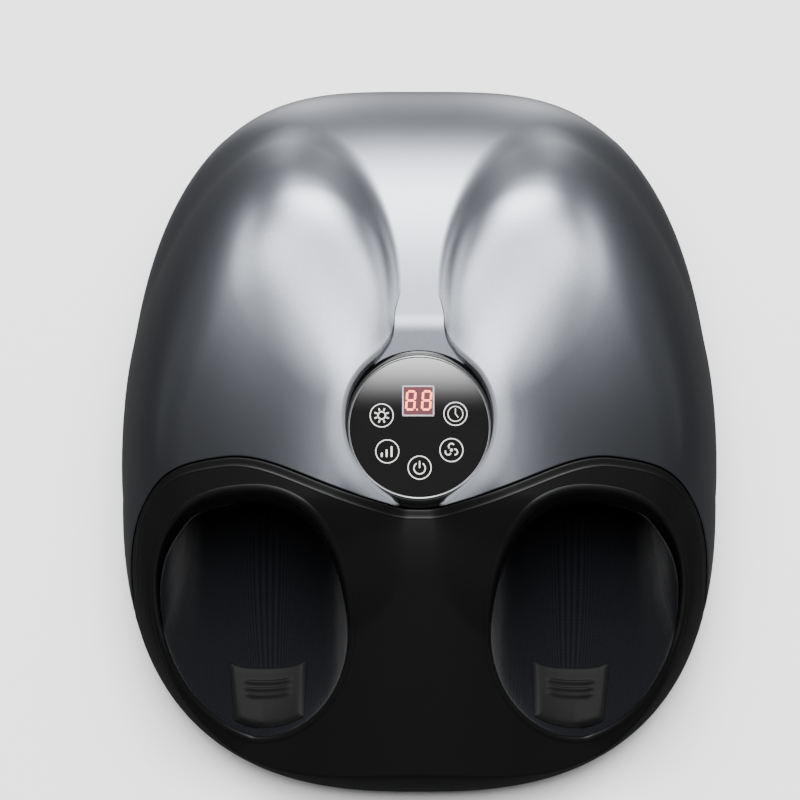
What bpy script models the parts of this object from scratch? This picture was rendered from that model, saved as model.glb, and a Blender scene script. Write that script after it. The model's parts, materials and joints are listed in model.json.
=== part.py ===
"""A foot massager with two foot wells, in metres, +Z up, the user's side at -Y, resting at Z = 0.

The silver shell and the black fascia are cut from one skin, a height over the plan. It joins a
dome, two pods, a console cove and a front deck with smooth least and greatest, so a single
formula holds every surface that shows. Each foot has a pocket over a sole plate, and two
three-lobed kneading heads under it. One motor turns a shaft with a worm at each side, and each
worm turns two wheels. The right side is modelled, and the left side is its mirror image.
"""

import math

import bmesh
import bpy
import numpy as np
from mathutils import Matrix, Vector

# Clearances, walls and cutter overrun
GAP = 0.0003
SEAM = 0.0006
RUNNING_GAP = 0.0003
WALL = 0.0028
OVERRUN = 0.010

# The outline in plan
HALF_WIDTH = 0.195
BACK_Y = 0.250
FRONT_Y = -0.230
WIDEST_Y = -0.018
BACK_POWER = 3.6
FRONT_POWER = 2.6
BACK_TAPER_SHARE = 0.163

# Heights of the shells, and of the tray and feet below them
FOOT_HEIGHT = 0.008
SKIRT_Z = 0.024
DOME_RISE = 0.1524
DOME_POWER = 2.45

# The two pods over the feet, seen from above as eggs that lean together at the back
POD_RISE = 0.188
POD_POWER = 2.0
POD_X = 0.0882
POD_Y = 0.0083
POD_INNER = 0.1265
POD_OUTER = 0.1046
POD_BACK = 0.2136
POD_FRONT = 0.2022
POD_LEAN_SHARE = 0.062
POD_PLAN_POWER = 2.06
POD_SLOPE = math.radians(42.0)
POD_TOE_Y = -0.212
POD_TOE_Z = 0.028
POD_BLEND = 0.060

# The console: a cove from the ridge between the pods down to the mouth of the shell
CONSOLE_TILT = math.radians(17.0)
RIDGE_Y = 0.032
RIDGE_BLEND = 0.004
COVE_Y = -0.0315
COVE_RADIUS = 0.050
NECK_Y = 0.015
NECK_RADIUS = 0.0187
COVE_WALL_SLOPE = 1.25
COVE_BLEND = 0.030

# The front deck between and before the wells
DECK_Z = 0.058
DECK_START = 0.006
DECK_SLOPE = math.radians(31.0)
DECK_CROWN_RADIUS = 0.150
DECK_BLEND = 0.008
CREASE_BLEND = 0.003
LAP_BLEND = 0.030
LAP_START_Y = -0.070
LAP_END_Y = -0.140

# The flanks outside the wells, where the dome carries on down to the deck's front corners
FLANK_X = 0.095
FLANK_SLOPE = 1.6
FLANK_SINK = 0.003

# The mouth line, where the silver shell ends and the black fascia starts
MOUTH_Y = -0.078
MOUTH_RISE = 0.024
MOUTH_CREST_X = 0.118
MOUTH_WARP = 1.25
MOUTH_CORNER = 0.066
MOUTH_CORNER_POWER = 3.0

# The two wells
WELL_X = 0.104
WELL_Y = -0.134
WELL_HALF_WIDTH = 0.060
WELL_HALF_LENGTH = 0.065
WELL_BACK_POWER = 2.4
WELL_FRONT_POWER = 1.95
WELL_LEAN_SHARE = 0.15
FUNNEL_WALL = 0.0030
FUNNEL_LIP = 0.0012
FUNNEL_DEPTH = 0.015
FUNNEL_HEEL_DEPTH = 0.004

# Mesh counts, and the angle past which an edge is sharp
SHARP_ANGLE = math.radians(35.0)
RINGS = 14
RING_SPREAD = 1.7
SPOKES = 48
SPOKE_CROWDING = 0.22
ROLL_TURNS = 12
ROLL_SHARES = (0.5, 0.85, 1.0)
MOUTH_STEPS = 10
BOSS_STEPS = 8
WELL_SPOKES = 28
DIAL_ROUND = 28
ROUND = 18
MEDIUM_ROUND = 12
SMALL_ROUND = 8
POST_ROUND = 6

# The sole plane: each side's mechanism lies in a frame that rises to the toes
SOLE_X = 0.097
SOLE_Y = -0.020
SOLE_Z = 0.036
SOLE_TILT = math.radians(8.0)

# Worm drive: module 3, one start, eighteen stub teeth
MODULE = 0.00300
LEAD = math.pi * MODULE
WORM_PITCH_RADIUS = 0.0090
WORM_LENGTH = 0.0215
WORM_HUB = 0.002
WHEEL_TEETH = 18
WHEEL_PITCH_RADIUS = WHEEL_TEETH * MODULE / 2.0
ADDENDUM = 0.0019
DEDENDUM = 0.0023
TOOTH_SLACK = 0.00055
PRESSURE_ANGLE = math.radians(20.0)
WHEEL_FACE = 0.009
DRIVE_CENTRES = WORM_PITCH_RADIUS + WHEEL_PITCH_RADIUS
SHAFT_RADIUS = 0.003
SHAFT_END = 0.036
THREAD_STEPS = 12
THREAD_SINK = 0.0006

# Kneading heads, over the wheels
HEAD_RADIUS = 0.034
HEAD_PLATE = 0.0030
HEAD_CLEARANCE = 0.0006
HEAD_HUB_RADIUS = 0.013
LOBES = 3
LOBE_STEPS = 3
LOBE_ORBIT = 0.0225
LOBE_RADIUS = 0.0095
LOBE_TOP = 0.0193
LOBE_SINK = 0.0008
LOBE_SIDE_POWER = 0.8
LOBE_RISE_POWER = 0.9
PIN_PROUD = 0.0010
PIN_SHORT = 0.0006

# Gear case: an open tray with bearing blocks, on four posts
CASE_WALL = 0.0028
CASE_ROOM = 0.0016
CASE_FLOOR = 0.0025
CASE_UNDER_WORM = 0.0010
CASE_RIM = 0.0025
RACE_STEPS = 8
PIN_BOSS_RADIUS = 0.006
BLOCK_HALF_WIDTH = 0.0085
BLOCK_TOP = 0.0088
BLOCK_THICKNESS = 0.006
BUSH_WALL = 0.0020
BUSH_FLANGE = 0.0016
BUSH_FLANGE_RADIUS = 0.0068
CASE_POST_X = 0.022
CASE_POST_Y = 0.045
POST_RADIUS = 0.0045
POST_SINK = 0.0010

# Sole plate, heater and foot pocket
PLATE_BOTTOM = 0.0115
PLATE_THICKNESS = 0.0025
PLATE_HALF_WIDTH = 0.050
PLATE_HALF_LENGTH = 0.146
PLATE_Y = -0.022
PLATE_POWER = 3.0
PLATE_POST_X = 0.030
PLATE_POST_BACK = 0.088
PLATE_POST_FRONT = -0.118
HEATER_THICKNESS = 0.0050
HEATER_INSET = 0.006
WINDOW_MARGIN = 0.0003
FLOOR_HEIGHT = 0.0200
LINER = 0.0016
POCKET_HEIGHT = 0.080
POCKET_TOE_SHARE = 0.62
POCKET_HALF_WIDTH = 0.051
POCKET_TOE_WIDTH_SHARE = 0.86
POCKET_START = -0.025
POCKET_END = 0.128
POCKET_WIDEST_SHARE = 0.42
POCKET_TOP_POWER = 2.4
POCKET_FLOOR_POWER = 3.6
FOOT_LEAN_SHARE = 0.06
TOE_ROUND_POWER = 3.2
SETTLE_SHARE = 0.92
SETTLE_START_SHARE = 0.3
TOP_PULL = 0.006
SOLE_PULL = 0.085
TOE_HEIGHT = 0.0135
POCKET_SPOKES = 16
POCKET_BEND_STEPS = 6
POCKET_TUNNEL_STEPS = 5

# Heel rest, with three ribs: it covers these spokes and steps of the pocket's bend
HEEL_SPOKES = (-1, 0, 1)
HEEL_STEPS = (3, 2, 1)
HEEL_THICKNESS = 0.0026
HEEL_LIFT = 0.0007
HEEL_RIB_STEPS = (2.15, 2.35, 2.55)
HEEL_RIB_RADIUS = 0.0014
HEEL_RIB_REACH_SHARE = 0.55

# Instep airbag and the arch that backs it
BAG_START = -0.016
BAG_END = 0.064
BAG_REACH = math.radians(90.0)
BAG_SPACE = 0.0022
BAG_EDGE = 0.0022
BAG_SWELL = 0.0058
BAG_STEPS = 5
BAG_SPOKES = 8
BAG_NIPPLE_RADIUS = 0.0030
BAG_NIPPLE_LENGTH = 0.009
ARCH_SPACE = 0.0115
ARCH_WALL = 0.0024
ARCH_START = -0.020
ARCH_END = 0.068
ARCH_STEPS = 2
ARCH_SPOKES = 8
ARCH_CLEARANCE = 0.001

# Control stack, on the console's slope
DIAL_Y = -0.0315
GLASS_RADIUS = 0.0426
GLASS_THICKNESS = 0.0020
GLASS_LIFT = 0.0006
BEZEL_INNER = 0.0429
BEZEL_OUTER = 0.0446
BEZEL_LEDGE = 0.0410
BEZEL_TOP = 0.0029
BEZEL_BOTTOM = -0.0012
COLLAR_INNER = 0.0449
COLLAR_OUTER = 0.0473
COLLAR_TOP = 0.0021
COLLAR_EDGE_SHARE = 0.55
COLLAR_DEPTH = 0.0095
BOARD_RADIUS = 0.0440
BOARD_THICKNESS = 0.0016
DISPLAY_HALF_WIDTH = 0.0094
DISPLAY_HALF_HEIGHT = 0.0091
DISPLAY_Y = 0.0166
CUP_WALL = 0.0018
CUP_DEPTH = 0.016

# Base tray, feet and screws
TRAY_FLOOR = 0.003
TRAY_INSET = 0.0035
TRAY_TOE_INSET = 0.0060
TRAY_CHAMFER = 0.0025
TRAY_WALL = 0.0065
RUBBER_RADIUS = 0.016
RUBBER_BEVEL = 0.0015
RUBBER_SIDE_INSET = 0.067
RUBBER_BACK_INSET = 0.085
RUBBER_FRONT_INSET = 0.088
RUBBER_X = HALF_WIDTH - RUBBER_SIDE_INSET
RUBBER_BACK_Y = BACK_Y - RUBBER_BACK_INSET
RUBBER_FRONT_Y = FRONT_Y + RUBBER_FRONT_INSET
SCREW_INSET = 0.0115
SCREW_BACK_ANGLE = math.radians(63.0)
SCREW_FRONT_ANGLE = math.radians(-80.0)
SCREW_SHANK = 0.00175
SCREW_HEAD = 0.0038
SCREW_HEAD_HEIGHT = 0.0026
SCREW_CROWN_SHARE = 0.8
SCREW_EDGE_SHARE = 0.6
SCREW_LENGTH = 0.024
SCREW_SEAT = 0.0070
BOSS_RADIUS = 0.0048
BOSS_HEIGHT = 0.020
TRAY_BOSS_RADIUS = 0.0065
VENTS = 5
VENT_LENGTH = 0.036
VENT_WIDTH = 0.003
VENT_PITCH = 0.008
VENT_Y = 0.072

# Motor, in a cradle and strap
MOTOR_RADIUS = 0.021
MOTOR_HALF_LENGTH = 0.033
MOTOR_NOSE_RADIUS = 0.008
MOTOR_NOSE = 0.004
MOTOR_CAP_STEP = 0.0015
MOTOR_CAP_SHARE = 0.8
CRADLE_HALF_LENGTH = 0.022
CRADLE_HALF_WIDTH = 0.026
STRAP_THICKNESS = 0.0025
STRAP_HALF_LENGTH = 0.008
STRAP_STEPS = 12

# Air supply, main board and power inlet
BEVEL_SEGMENTS = 2
PUMP_Y = 0.128
PUMP_SIZE = (0.056, 0.040, 0.034)
PUMP_HEAD_RADIUS = 0.012
PUMP_HEAD_X = 0.0135
PUMP_HEAD_HEIGHT = 0.012
PUMP_BEVEL = 0.004
VALVE_Y = 0.074
VALVE_SIZE = (0.044, 0.024, 0.020)
VALVE_BEVEL = 0.0015
NIPPLE_RADIUS = 0.0022
NIPPLE_HEIGHT = 0.008
NIPPLE_X = 0.014
HOSE_RADIUS = 0.0034
HOSE_END_GAP = 0.0007
HOSE_RISE = 0.040
HOSE_SWING = 0.026
HOSE_POINTS = 14
HOSE_MIDDLE_X = 0.034
HOSE_MIDDLE_Z = 0.128
BOARD_Y = 0.190
MAIN_BOARD_SIZE = (0.090, 0.046, 0.0016)
STANDOFF_RADIUS = 0.003
STANDOFF_HEIGHT = 0.007
STANDOFF_INSET = 0.006
INLET_Z = 0.0160
INLET_RADIUS = 0.0040
INLET_FLANGE = 0.0056
INLET_FLANGE_THICKNESS = 0.0014
INLET_BORE = 0.0028
INLET_PIN = 0.0009
INLET_LENGTH = 0.014
INLET_BORE_DEPTH = 0.010

# Colours, roughness and metallic value of each slot
FINISHES = {
    "silver_paint": ((0.33, 0.345, 0.37), 0.32, 0.85),
    "black_satin": ((0.012, 0.012, 0.014), 0.38, 0.0),
    "black_matte": ((0.02, 0.02, 0.022), 0.55, 0.0),
    "black_gloss": ((0.008, 0.008, 0.009), 0.12, 0.0),
    "chrome": ((0.75, 0.76, 0.78), 0.12, 1.0),
    "glass": ((0.01, 0.01, 0.012), 0.05, 0.0),
    "display": ((0.20, 0.02, 0.02), 0.30, 0.0),
    "board": ((0.03, 0.14, 0.07), 0.45, 0.0),
    "rubber": ((0.015, 0.015, 0.015), 0.80, 0.0),
    "fabric": ((0.010, 0.011, 0.014), 0.95, 0.0),
    "steel": ((0.55, 0.56, 0.58), 0.28, 1.0),
    "zinc": ((0.42, 0.43, 0.45), 0.40, 1.0),
    "white_nylon": ((0.80, 0.79, 0.75), 0.42, 0.0),
    "grey_plastic": ((0.16, 0.165, 0.175), 0.50, 0.0),
    "bladder": ((0.09, 0.10, 0.12), 0.50, 0.0),
    "felt": ((0.10, 0.09, 0.085), 0.90, 0.0),
    "clear_hose": ((0.55, 0.57, 0.58), 0.30, 0.0),
    "brass": ((0.60, 0.44, 0.18), 0.30, 1.0),
}


def soft_min(first, second, blend):
    """The lesser of two heights, rounded over where they are within the blend of each other."""
    near = np.maximum(blend - np.abs(first - second), 0.0) / blend
    return np.minimum(first, second) - near * near * blend / 4.0


def soft_max(first, second, blend):
    """The greater of two heights, with a fillet where they meet."""
    return -soft_min(-first, -second, blend)


def outline_shape(behind):
    """The outline's power and length, behind its widest line or before it."""
    power = np.where(behind, BACK_POWER, FRONT_POWER)
    return power, np.where(behind, BACK_Y - WIDEST_Y, WIDEST_Y - FRONT_Y)


def back_taper(y):
    """The outline's width towards the back, as a share of its greatest."""
    return 1.0 - BACK_TAPER_SHARE * np.clip((y - WIDEST_Y) / (BACK_Y - WIDEST_Y), 0.0, 1.0) ** 2


def outline_reach(x, y):
    """Share of the way from the middle to the outline, which is 1 on the outline itself."""
    power, length = outline_shape(y > WIDEST_Y)
    across = np.abs(x) / (HALF_WIDTH * back_taper(y))
    along = np.abs(y - WIDEST_Y) / length
    return (across**power + along**power) ** (1.0 / power)


def arch(reach, power):
    """Height share of a dome: 1 over its middle and 0 at its edge."""
    return np.maximum(1.0 - np.minimum(reach, 1.0) ** power, 0.0) ** (1.0 / power)


def dome_height(x, y):
    return SKIRT_Z + DOME_RISE * arch(outline_reach(x, y), DOME_POWER)


def pod_height(x, y):
    """The two pods, as quarter eggs of unlike widths that share one centre."""
    across = np.abs(x) - POD_X + POD_LEAN_SHARE * (y - POD_Y)
    along = y - POD_Y
    across_share = np.abs(across) / np.where(across < 0.0, POD_INNER, POD_OUTER)
    along_share = np.abs(along) / np.where(along > 0.0, POD_BACK, POD_FRONT)
    reach = (across_share**POD_PLAN_POWER + along_share**POD_PLAN_POWER) ** (1.0 / POD_PLAN_POWER)
    return SKIRT_Z + POD_RISE * arch(reach, POD_POWER)


def console_height(y):
    """The sloping plane that meets the dome's crown at the ridge."""
    ridge = dome_height(np.float64(0.0), np.float64(RIDGE_Y))
    return ridge - math.tan(CONSOLE_TILT) * (RIDGE_Y - y)


def cove_distance(x, y):
    """Distance outside the cove's plan, a wide circle and a narrow one with their tangents."""
    length = NECK_Y - COVE_Y
    lean = (COVE_RADIUS - NECK_RADIUS) / length
    straight = math.sqrt(1.0 - lean * lean)
    side = np.abs(x)
    along = y - COVE_Y
    station = straight * along - lean * side
    wide = np.hypot(side, along) - COVE_RADIUS
    narrow = np.hypot(side, along - length) - NECK_RADIUS
    between = straight * side + lean * along - COVE_RADIUS
    return np.where(station < 0.0, wide, np.where(station > straight * length, narrow, between))


def skin_height(x, y):
    """Height of the outer skin over a point of the plan."""
    console = console_height(y)
    deck = DECK_Z + math.tan(DECK_SLOPE) * (y - FRONT_Y - DECK_START) - x * x / (2.0 * DECK_CROWN_RADIUS)
    base = soft_min(soft_min(dome_height(x, y), console, RIDGE_BLEND), deck, DECK_BLEND)
    slope = POD_TOE_Z + math.tan(POD_SLOPE) * (y - POD_TOE_Y)
    pods = soft_min(pod_height(x, y), slope, POD_BLEND)
    pods = soft_min(pods, console + COVE_WALL_SLOPE * cove_distance(x, y), COVE_BLEND)
    share = np.clip((LAP_START_Y - y) / (LAP_START_Y - LAP_END_Y), 0.0, 1.0)
    blend = CREASE_BLEND + (LAP_BLEND - CREASE_BLEND) * share * share * (3.0 - 2.0 * share)
    flank = SKIRT_Z + FLANK_SLOPE * (np.abs(x) - FLANK_X)
    flank = soft_min(soft_min(dome_height(x, y), slope - FLANK_SINK, DECK_BLEND), flank, DECK_BLEND)
    return soft_max(soft_max(base, pods, blend), flank, CREASE_BLEND)


def outline_direction(angle):
    """The outline's point at an angle, measured from its widest line."""
    power, length = outline_shape(np.sin(angle) > 0.0)
    across = np.abs(np.cos(angle)) / HALF_WIDTH
    along = np.abs(np.sin(angle)) / length
    radius = (across**power + along**power) ** (-1.0 / power)
    return radius * np.cos(angle), radius * np.sin(angle)


def plan_point(angle, share, inset=0.0):
    """The plan's point at a share of the way out to the outline, which an inset draws in."""
    across, along = outline_direction(angle)
    size = np.hypot(across, along)
    share = share * (size - inset) / size
    y = WIDEST_Y + share * along
    return share * across * back_taper(y), y


def spoke_angles(count):
    """Angles round the plan, closer together at the back and front than at the sides."""
    turn = np.arange(count) * 2.0 * math.pi / count
    return turn + SPOKE_CROWDING * np.sin(2.0 * turn)


def mouth_y(x):
    """The mouth line's place along Y: a wave up to its crest, then a rounded corner."""
    side = np.abs(x)
    turn = math.pi * (np.minimum(side / MOUTH_CREST_X, 1.0)) ** MOUTH_WARP
    wave = MOUTH_Y + MOUTH_RISE * (1.0 - np.cos(turn)) / 2.0
    reach = np.clip((side - MOUTH_CREST_X) / MOUTH_CORNER, 0.0, 1.0)
    corner = (1.0 - reach**MOUTH_CORNER_POWER) ** (1.0 / MOUTH_CORNER_POWER)
    return np.where(side < MOUTH_CREST_X, wave, MOUTH_Y + MOUTH_RISE - MOUTH_CORNER * (1.0 - corner))


def new_material(slot):
    """One Principled material for one node, from its slot's finish."""
    colour, roughness, metallic = FINISHES[slot]
    material = bpy.data.materials.new(slot)
    material.use_nodes = True
    shader = material.node_tree.nodes["Principled BSDF"]
    shader.inputs["Base Color"].default_value = (*colour, 1.0)
    shader.inputs["Roughness"].default_value = roughness
    shader.inputs["Metallic"].default_value = metallic
    material.diffuse_color = (*colour, 1.0)
    return material


def mesh_from(name, points, faces):
    """A mesh with faces turned outwards."""
    mesh = bpy.data.meshes.new(name)
    mesh.from_pydata([tuple(point) for point in points], [], faces)
    work = bmesh.new()
    work.from_mesh(mesh)
    bmesh.ops.recalc_face_normals(work, faces=work.faces)
    work.to_mesh(mesh)
    work.free()
    return mesh


def place(name, mesh, slot, location=(0.0, 0.0, 0.0), parent=None, rotation=(0.0, 0.0, 0.0)):
    """Puts a mesh in the scene as a named object, smooth but for its sharp edges."""
    mesh.shade_smooth()
    mesh.set_sharp_from_angle(angle=SHARP_ANGLE)
    thing = bpy.data.objects.new(name, mesh)
    bpy.context.scene.collection.objects.link(thing)
    thing.location = location
    thing.rotation_euler = rotation
    thing.parent = parent
    if slot:
        mesh.materials.append(new_material(slot))
    return thing


def cut_with(target, operation, parts, solver="EXACT"):
    """Adds a Boolean whose other operand is one hidden mesh, joined from separate bodies."""
    points = []
    faces = []
    for part_points, part_faces in parts:
        start = len(points)
        points.extend(part_points)
        faces.extend([[start + index for index in face] for face in part_faces])
    mesh = mesh_from(f"{target.name}_{operation.lower()}", points, faces)
    tool = bpy.data.objects.new(mesh.name, mesh)
    bpy.context.scene.collection.objects.link(tool)
    tool.parent = target.parent
    tool.location = target.location
    tool.rotation_euler = target.rotation_euler
    tool.hide_render = True
    tool.display_type = "WIRE"
    modifier = target.modifiers.new(operation.title(), "BOOLEAN")
    modifier.operation = operation
    modifier.solver = solver
    modifier.object = tool


def stack(rings, closed_start=True, closed_end=True):
    """Points and faces of a solid through rings of equal counts, with flat or pole ends."""
    points = []
    starts = []
    for ring in rings:
        starts.append((len(points), len(ring)))
        points.extend(tuple(point) for point in ring)
    faces = []
    for (low, low_count), (high, high_count) in zip(starts, starts[1:]):
        count = max(low_count, high_count)
        for index in range(count):
            following = (index + 1) % count
            if low_count == 1:
                faces.append([low, high + following, high + index])
            elif high_count == 1:
                faces.append([low + index, low + following, high])
            else:
                faces.append([low + index, low + following, high + following, high + index])
    if closed_start and starts[0][1] > 1:
        faces.append([starts[0][0] + index for index in reversed(range(starts[0][1]))])
    if closed_end and starts[-1][1] > 1:
        faces.append([starts[-1][0] + index for index in range(starts[-1][1])])
    return points, faces


def looped(rings):
    """Points and faces of a solid whose last ring joins its first, as round a bore."""
    points, faces = stack(rings, False, False)
    count = len(rings[0])
    last = len(points) - count
    for index in range(count):
        following = (index + 1) % count
        faces.append([last + index, last + following, following, index])
    return points, faces


def circle(radius, height, count, centre=(0.0, 0.0)):
    """A level ring of points, or one point where the radius is nothing."""
    if radius <= 0.0:
        return [(centre[0], centre[1], height)]
    turns = [2.0 * math.pi * index / count for index in range(count)]
    return [(centre[0] + radius * math.cos(t), centre[1] + radius * math.sin(t), height) for t in turns]


def turned(profile, count=ROUND, centre=(0.0, 0.0), bored=False):
    """A solid turned about Z from (radius, height) pairs: from pole to pole, or round a bore."""
    rings = [circle(radius, height, count, centre) for radius, height in profile]
    return looped(rings) if bored else stack(rings)


def rod(radius, low, high, count=SMALL_ROUND, centre=(0.0, 0.0)):
    return turned([(radius, low), (radius, high)], count, centre)


def moved(part, matrix):
    """The same points and faces after a matrix."""
    points, faces = part
    return [tuple(matrix @ Vector(point)) for point in points], faces


def about_x(part):
    """Turns a solid made about Z so that its axis lies along X."""
    return moved(part, Matrix.Rotation(math.pi / 2.0, 4, "Y"))


def about_y(part):
    """Turns a solid made about Z so that its top faces the back."""
    return moved(part, Matrix.Rotation(-math.pi / 2.0, 4, "X"))


def box(low, high):
    """A box between two corners."""
    corners = [(low[0], low[1]), (high[0], low[1]), (high[0], high[1]), (low[0], high[1])]
    return stack([[(x, y, low[2]) for x, y in corners], [(x, y, high[2]) for x, y in corners]])


def prism(plan, low, high):
    """A plan extruded between two heights."""
    return stack([[(x, y, low) for x, y in plan], [(x, y, high) for x, y in plan]])


def superellipse(half_x, half_y, power, count, centre=(0.0, 0.0)):
    """Points of a rounded rectangle in plan."""
    points = []
    for index in range(count):
        turn = 2.0 * math.pi * index / count
        side = math.copysign(abs(math.cos(turn)) ** (2.0 / power), math.cos(turn))
        along = math.copysign(abs(math.sin(turn)) ** (2.0 / power), math.sin(turn))
        points.append((centre[0] + half_x * side, centre[1] + half_y * along))
    return points


def sole_frame(side):
    """The empty at one side's worm, whose Z is square to the sole plate."""
    frame = bpy.data.objects.new("right_frame" if side > 0 else "left_frame", None)
    bpy.context.scene.collection.objects.link(frame)
    frame.location = (side * SOLE_X, SOLE_Y, SOLE_Z)
    frame.rotation_euler = (SOLE_TILT, 0.0, 0.0)
    return frame


SOLE = Matrix.Translation((SOLE_X, SOLE_Y, SOLE_Z)) @ Matrix.Rotation(SOLE_TILT, 4, "X")
SOLE_BACK = SOLE.inverted()


def mirrored(thing, name, parent):
    """The left piece: the finished right piece, mirrored in X under the left frame."""
    graph = bpy.context.evaluated_depsgraph_get()
    mesh = bpy.data.meshes.new_from_object(thing.evaluated_get(graph))
    mesh.name = name
    for vertex in mesh.vertices:
        vertex.co.x = -vertex.co.x
    mesh.flip_normals()
    copy = bpy.data.objects.new(name, mesh)
    bpy.context.scene.collection.objects.link(copy)
    copy.parent = parent
    copy.location = (-thing.location.x, thing.location.y, thing.location.z)
    copy.rotation_euler = thing.rotation_euler
    slot = thing.active_material.name.split(".")[0]
    mesh.materials.clear()
    mesh.materials.append(new_material(slot))
    return copy


def rolled_under(x, y):
    """The inner face's height: the skin as a ball of the wall's radius rolls under it."""
    lowest = skin_height(x, y) - WALL
    for turn in np.arange(ROLL_TURNS) * 2.0 * math.pi / ROLL_TURNS:
        for share in ROLL_SHARES:
            away_x = x + share * WALL * math.cos(turn)
            away_y = y + share * WALL * math.sin(turn)
            height = skin_height(away_x, away_y) - WALL * math.sqrt(1.0 - share * share)
            inside = outline_reach(away_x, away_y) < 1.0
            lowest = np.where(inside, np.minimum(lowest, height), lowest)
    return lowest


def skin_solid():
    """The whole skin as one shell, open below: its outer rings, then its inner rings."""
    angles = spoke_angles(SPOKES)
    rings = [[(0.0, WIDEST_Y, float(skin_height(np.float64(0.0), np.float64(WIDEST_Y))))]]
    for step in range(1, RINGS + 1):
        share = 1.0 - (1.0 - step / RINGS) ** RING_SPREAD
        x, y = plan_point(angles, share)
        z = skin_height(x, y) if step < RINGS else np.full(SPOKES, SKIRT_Z)
        rings.append(list(zip(x, y, z)))
    for step in range(RINGS, 0, -1):
        share = 1.0 - (1.0 - step / RINGS) ** RING_SPREAD
        x, y = plan_point(angles, share, WALL * share)
        z = rolled_under(x, y) if step < RINGS else np.full(SPOKES, SKIRT_Z)
        rings.append(list(zip(x, y, z)))
    low = float(rolled_under(np.float64(0.0), np.float64(WIDEST_Y)))
    rings.append([(0.0, WIDEST_Y, low)])
    return stack(rings)


def room_solid(clearance):
    """The space inside the shells, kept a clearance off their inner faces."""
    angles = spoke_angles(SPOKES)
    rings = []
    for step in range(RINGS, 0, -1):
        share = 1.0 - (1.0 - step / RINGS) ** RING_SPREAD
        x, y = plan_point(angles, share, (WALL + clearance) * share)
        z = rolled_under(x, y) - clearance if step < RINGS else np.zeros(SPOKES)
        rings.append(list(zip(x, y, z)))
    low = float(rolled_under(np.float64(0.0), np.float64(WIDEST_Y))) - clearance
    rings.append([(0.0, WIDEST_Y, low)])
    return stack(rings)


def mouth_prism(shift):
    """Everything before the mouth line, as an upright prism whose back edge is shifted along Y."""
    reach = MOUTH_CREST_X + MOUTH_CORNER
    corner = [reach * (1.0 - (1.0 - index / MOUTH_STEPS) ** 2) for index in range(1, MOUTH_STEPS)]
    sides = sorted({-x for x in corner} | {0.0} | set(corner))
    plan = [(x, float(mouth_y(np.float64(x))) + shift) for x in sides]
    beyond = MOUTH_Y + MOUTH_RISE - MOUTH_CORNER + shift
    far = HALF_WIDTH + OVERRUN
    front = FRONT_Y - OVERRUN
    plan = [(-far, beyond), (-reach, beyond), *plan, (reach, beyond), (far, beyond)]
    plan += [(far, front), (-far, front)]
    return prism(plan, -OVERRUN, SKIRT_Z + DOME_RISE + POD_RISE)


def screw_places():
    """The four case screws, as points on the inset outline."""
    places = []
    back, front = SCREW_BACK_ANGLE, SCREW_FRONT_ANGLE
    for angle in (back, math.pi - back, front, math.pi - front):
        x, y = plan_point(np.float64(angle), 1.0, SCREW_INSET)
        edge_x, edge_y = plan_point(np.float64(angle), 1.0, WALL)
        places.append(((float(x), float(y)), (float(edge_x), float(edge_y))))
    return places


def shell_boss(place_xy, edge_xy):
    """A screw boss with a round nose, run out into the shell's wall."""
    heading = Vector(edge_xy) - Vector(place_xy)
    outwards = math.atan2(heading.y, heading.x)
    plan = []
    for index in range(BOSS_STEPS + 1):
        turn = outwards + math.pi / 2.0 + math.pi * index / BOSS_STEPS
        nose = Vector((math.cos(turn), math.sin(turn))) * BOSS_RADIUS
        plan.append(tuple(Vector(place_xy) + nose))
    across = Vector((-math.sin(outwards), math.cos(outwards))) * BOSS_RADIUS
    plan.append(tuple(Vector(edge_xy) - across))
    plan.append(tuple(Vector(edge_xy) + across))
    return prism(plan, SKIRT_Z + GAP, SKIRT_Z + BOSS_HEIGHT)


def bored_for_screws(shell, places, solver="EXACT"):
    """Adds bosses and their pilot holes to a shell."""
    cut_with(shell, "UNION", [shell_boss(*spot) for spot in places], solver)
    hole = SCREW_SHANK + GAP
    top = SKIRT_Z + BOSS_HEIGHT - WALL
    pilots = [rod(hole, SKIRT_Z - OVERRUN, top, centre=spot[0]) for spot in places]
    cut_with(shell, "DIFFERENCE", pilots, solver)


def dial_matrix():
    """The frame of the control stack: its origin on the console, its Z square to it."""
    height = float(console_height(DIAL_Y))
    return Matrix.Translation((0.0, DIAL_Y, height)) @ Matrix.Rotation(CONSOLE_TILT, 4, "X")


def make_top_shell():
    """The silver shell, behind the mouth line, with the round hole for the control stack."""
    shell = place("top_shell", mesh_from("top_shell", *skin_solid()), "silver_paint")
    cut_with(shell, "DIFFERENCE", [mouth_prism(SEAM / 2.0)], "MANIFOLD")
    hole = rod(COLLAR_OUTER + GAP, -COLLAR_DEPTH - OVERRUN, OVERRUN, DIAL_ROUND)
    cut_with(shell, "DIFFERENCE", [moved(hole, dial_matrix())], "MANIFOLD")
    bored_for_screws(shell, screw_places()[:2], "MANIFOLD")


def well_rim(grow, count):
    """Points round a well's rim in plan, from its back round its outer side, grown by a margin."""
    points = []
    for index in range(count):
        turn = 2.0 * math.pi * index / count
        power = WELL_BACK_POWER if math.cos(turn) > 0.0 else WELL_FRONT_POWER
        side = math.copysign(abs(math.sin(turn)) ** (2.0 / power), math.sin(turn))
        along = math.copysign(abs(math.cos(turn)) ** (2.0 / power), math.cos(turn))
        y = (WELL_HALF_LENGTH + grow) * along
        points.append((WELL_X + WELL_LEAN_SHARE * y + (WELL_HALF_WIDTH + grow) * side, WELL_Y + y))
    return points


def funnel_depth(turn):
    """How far the funnel goes down from the rim: less at the heel than elsewhere."""
    heel = (1.0 - math.cos(turn)) / 2.0
    return FUNNEL_DEPTH + (FUNNEL_HEEL_DEPTH - FUNNEL_DEPTH) * heel * heel


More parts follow.
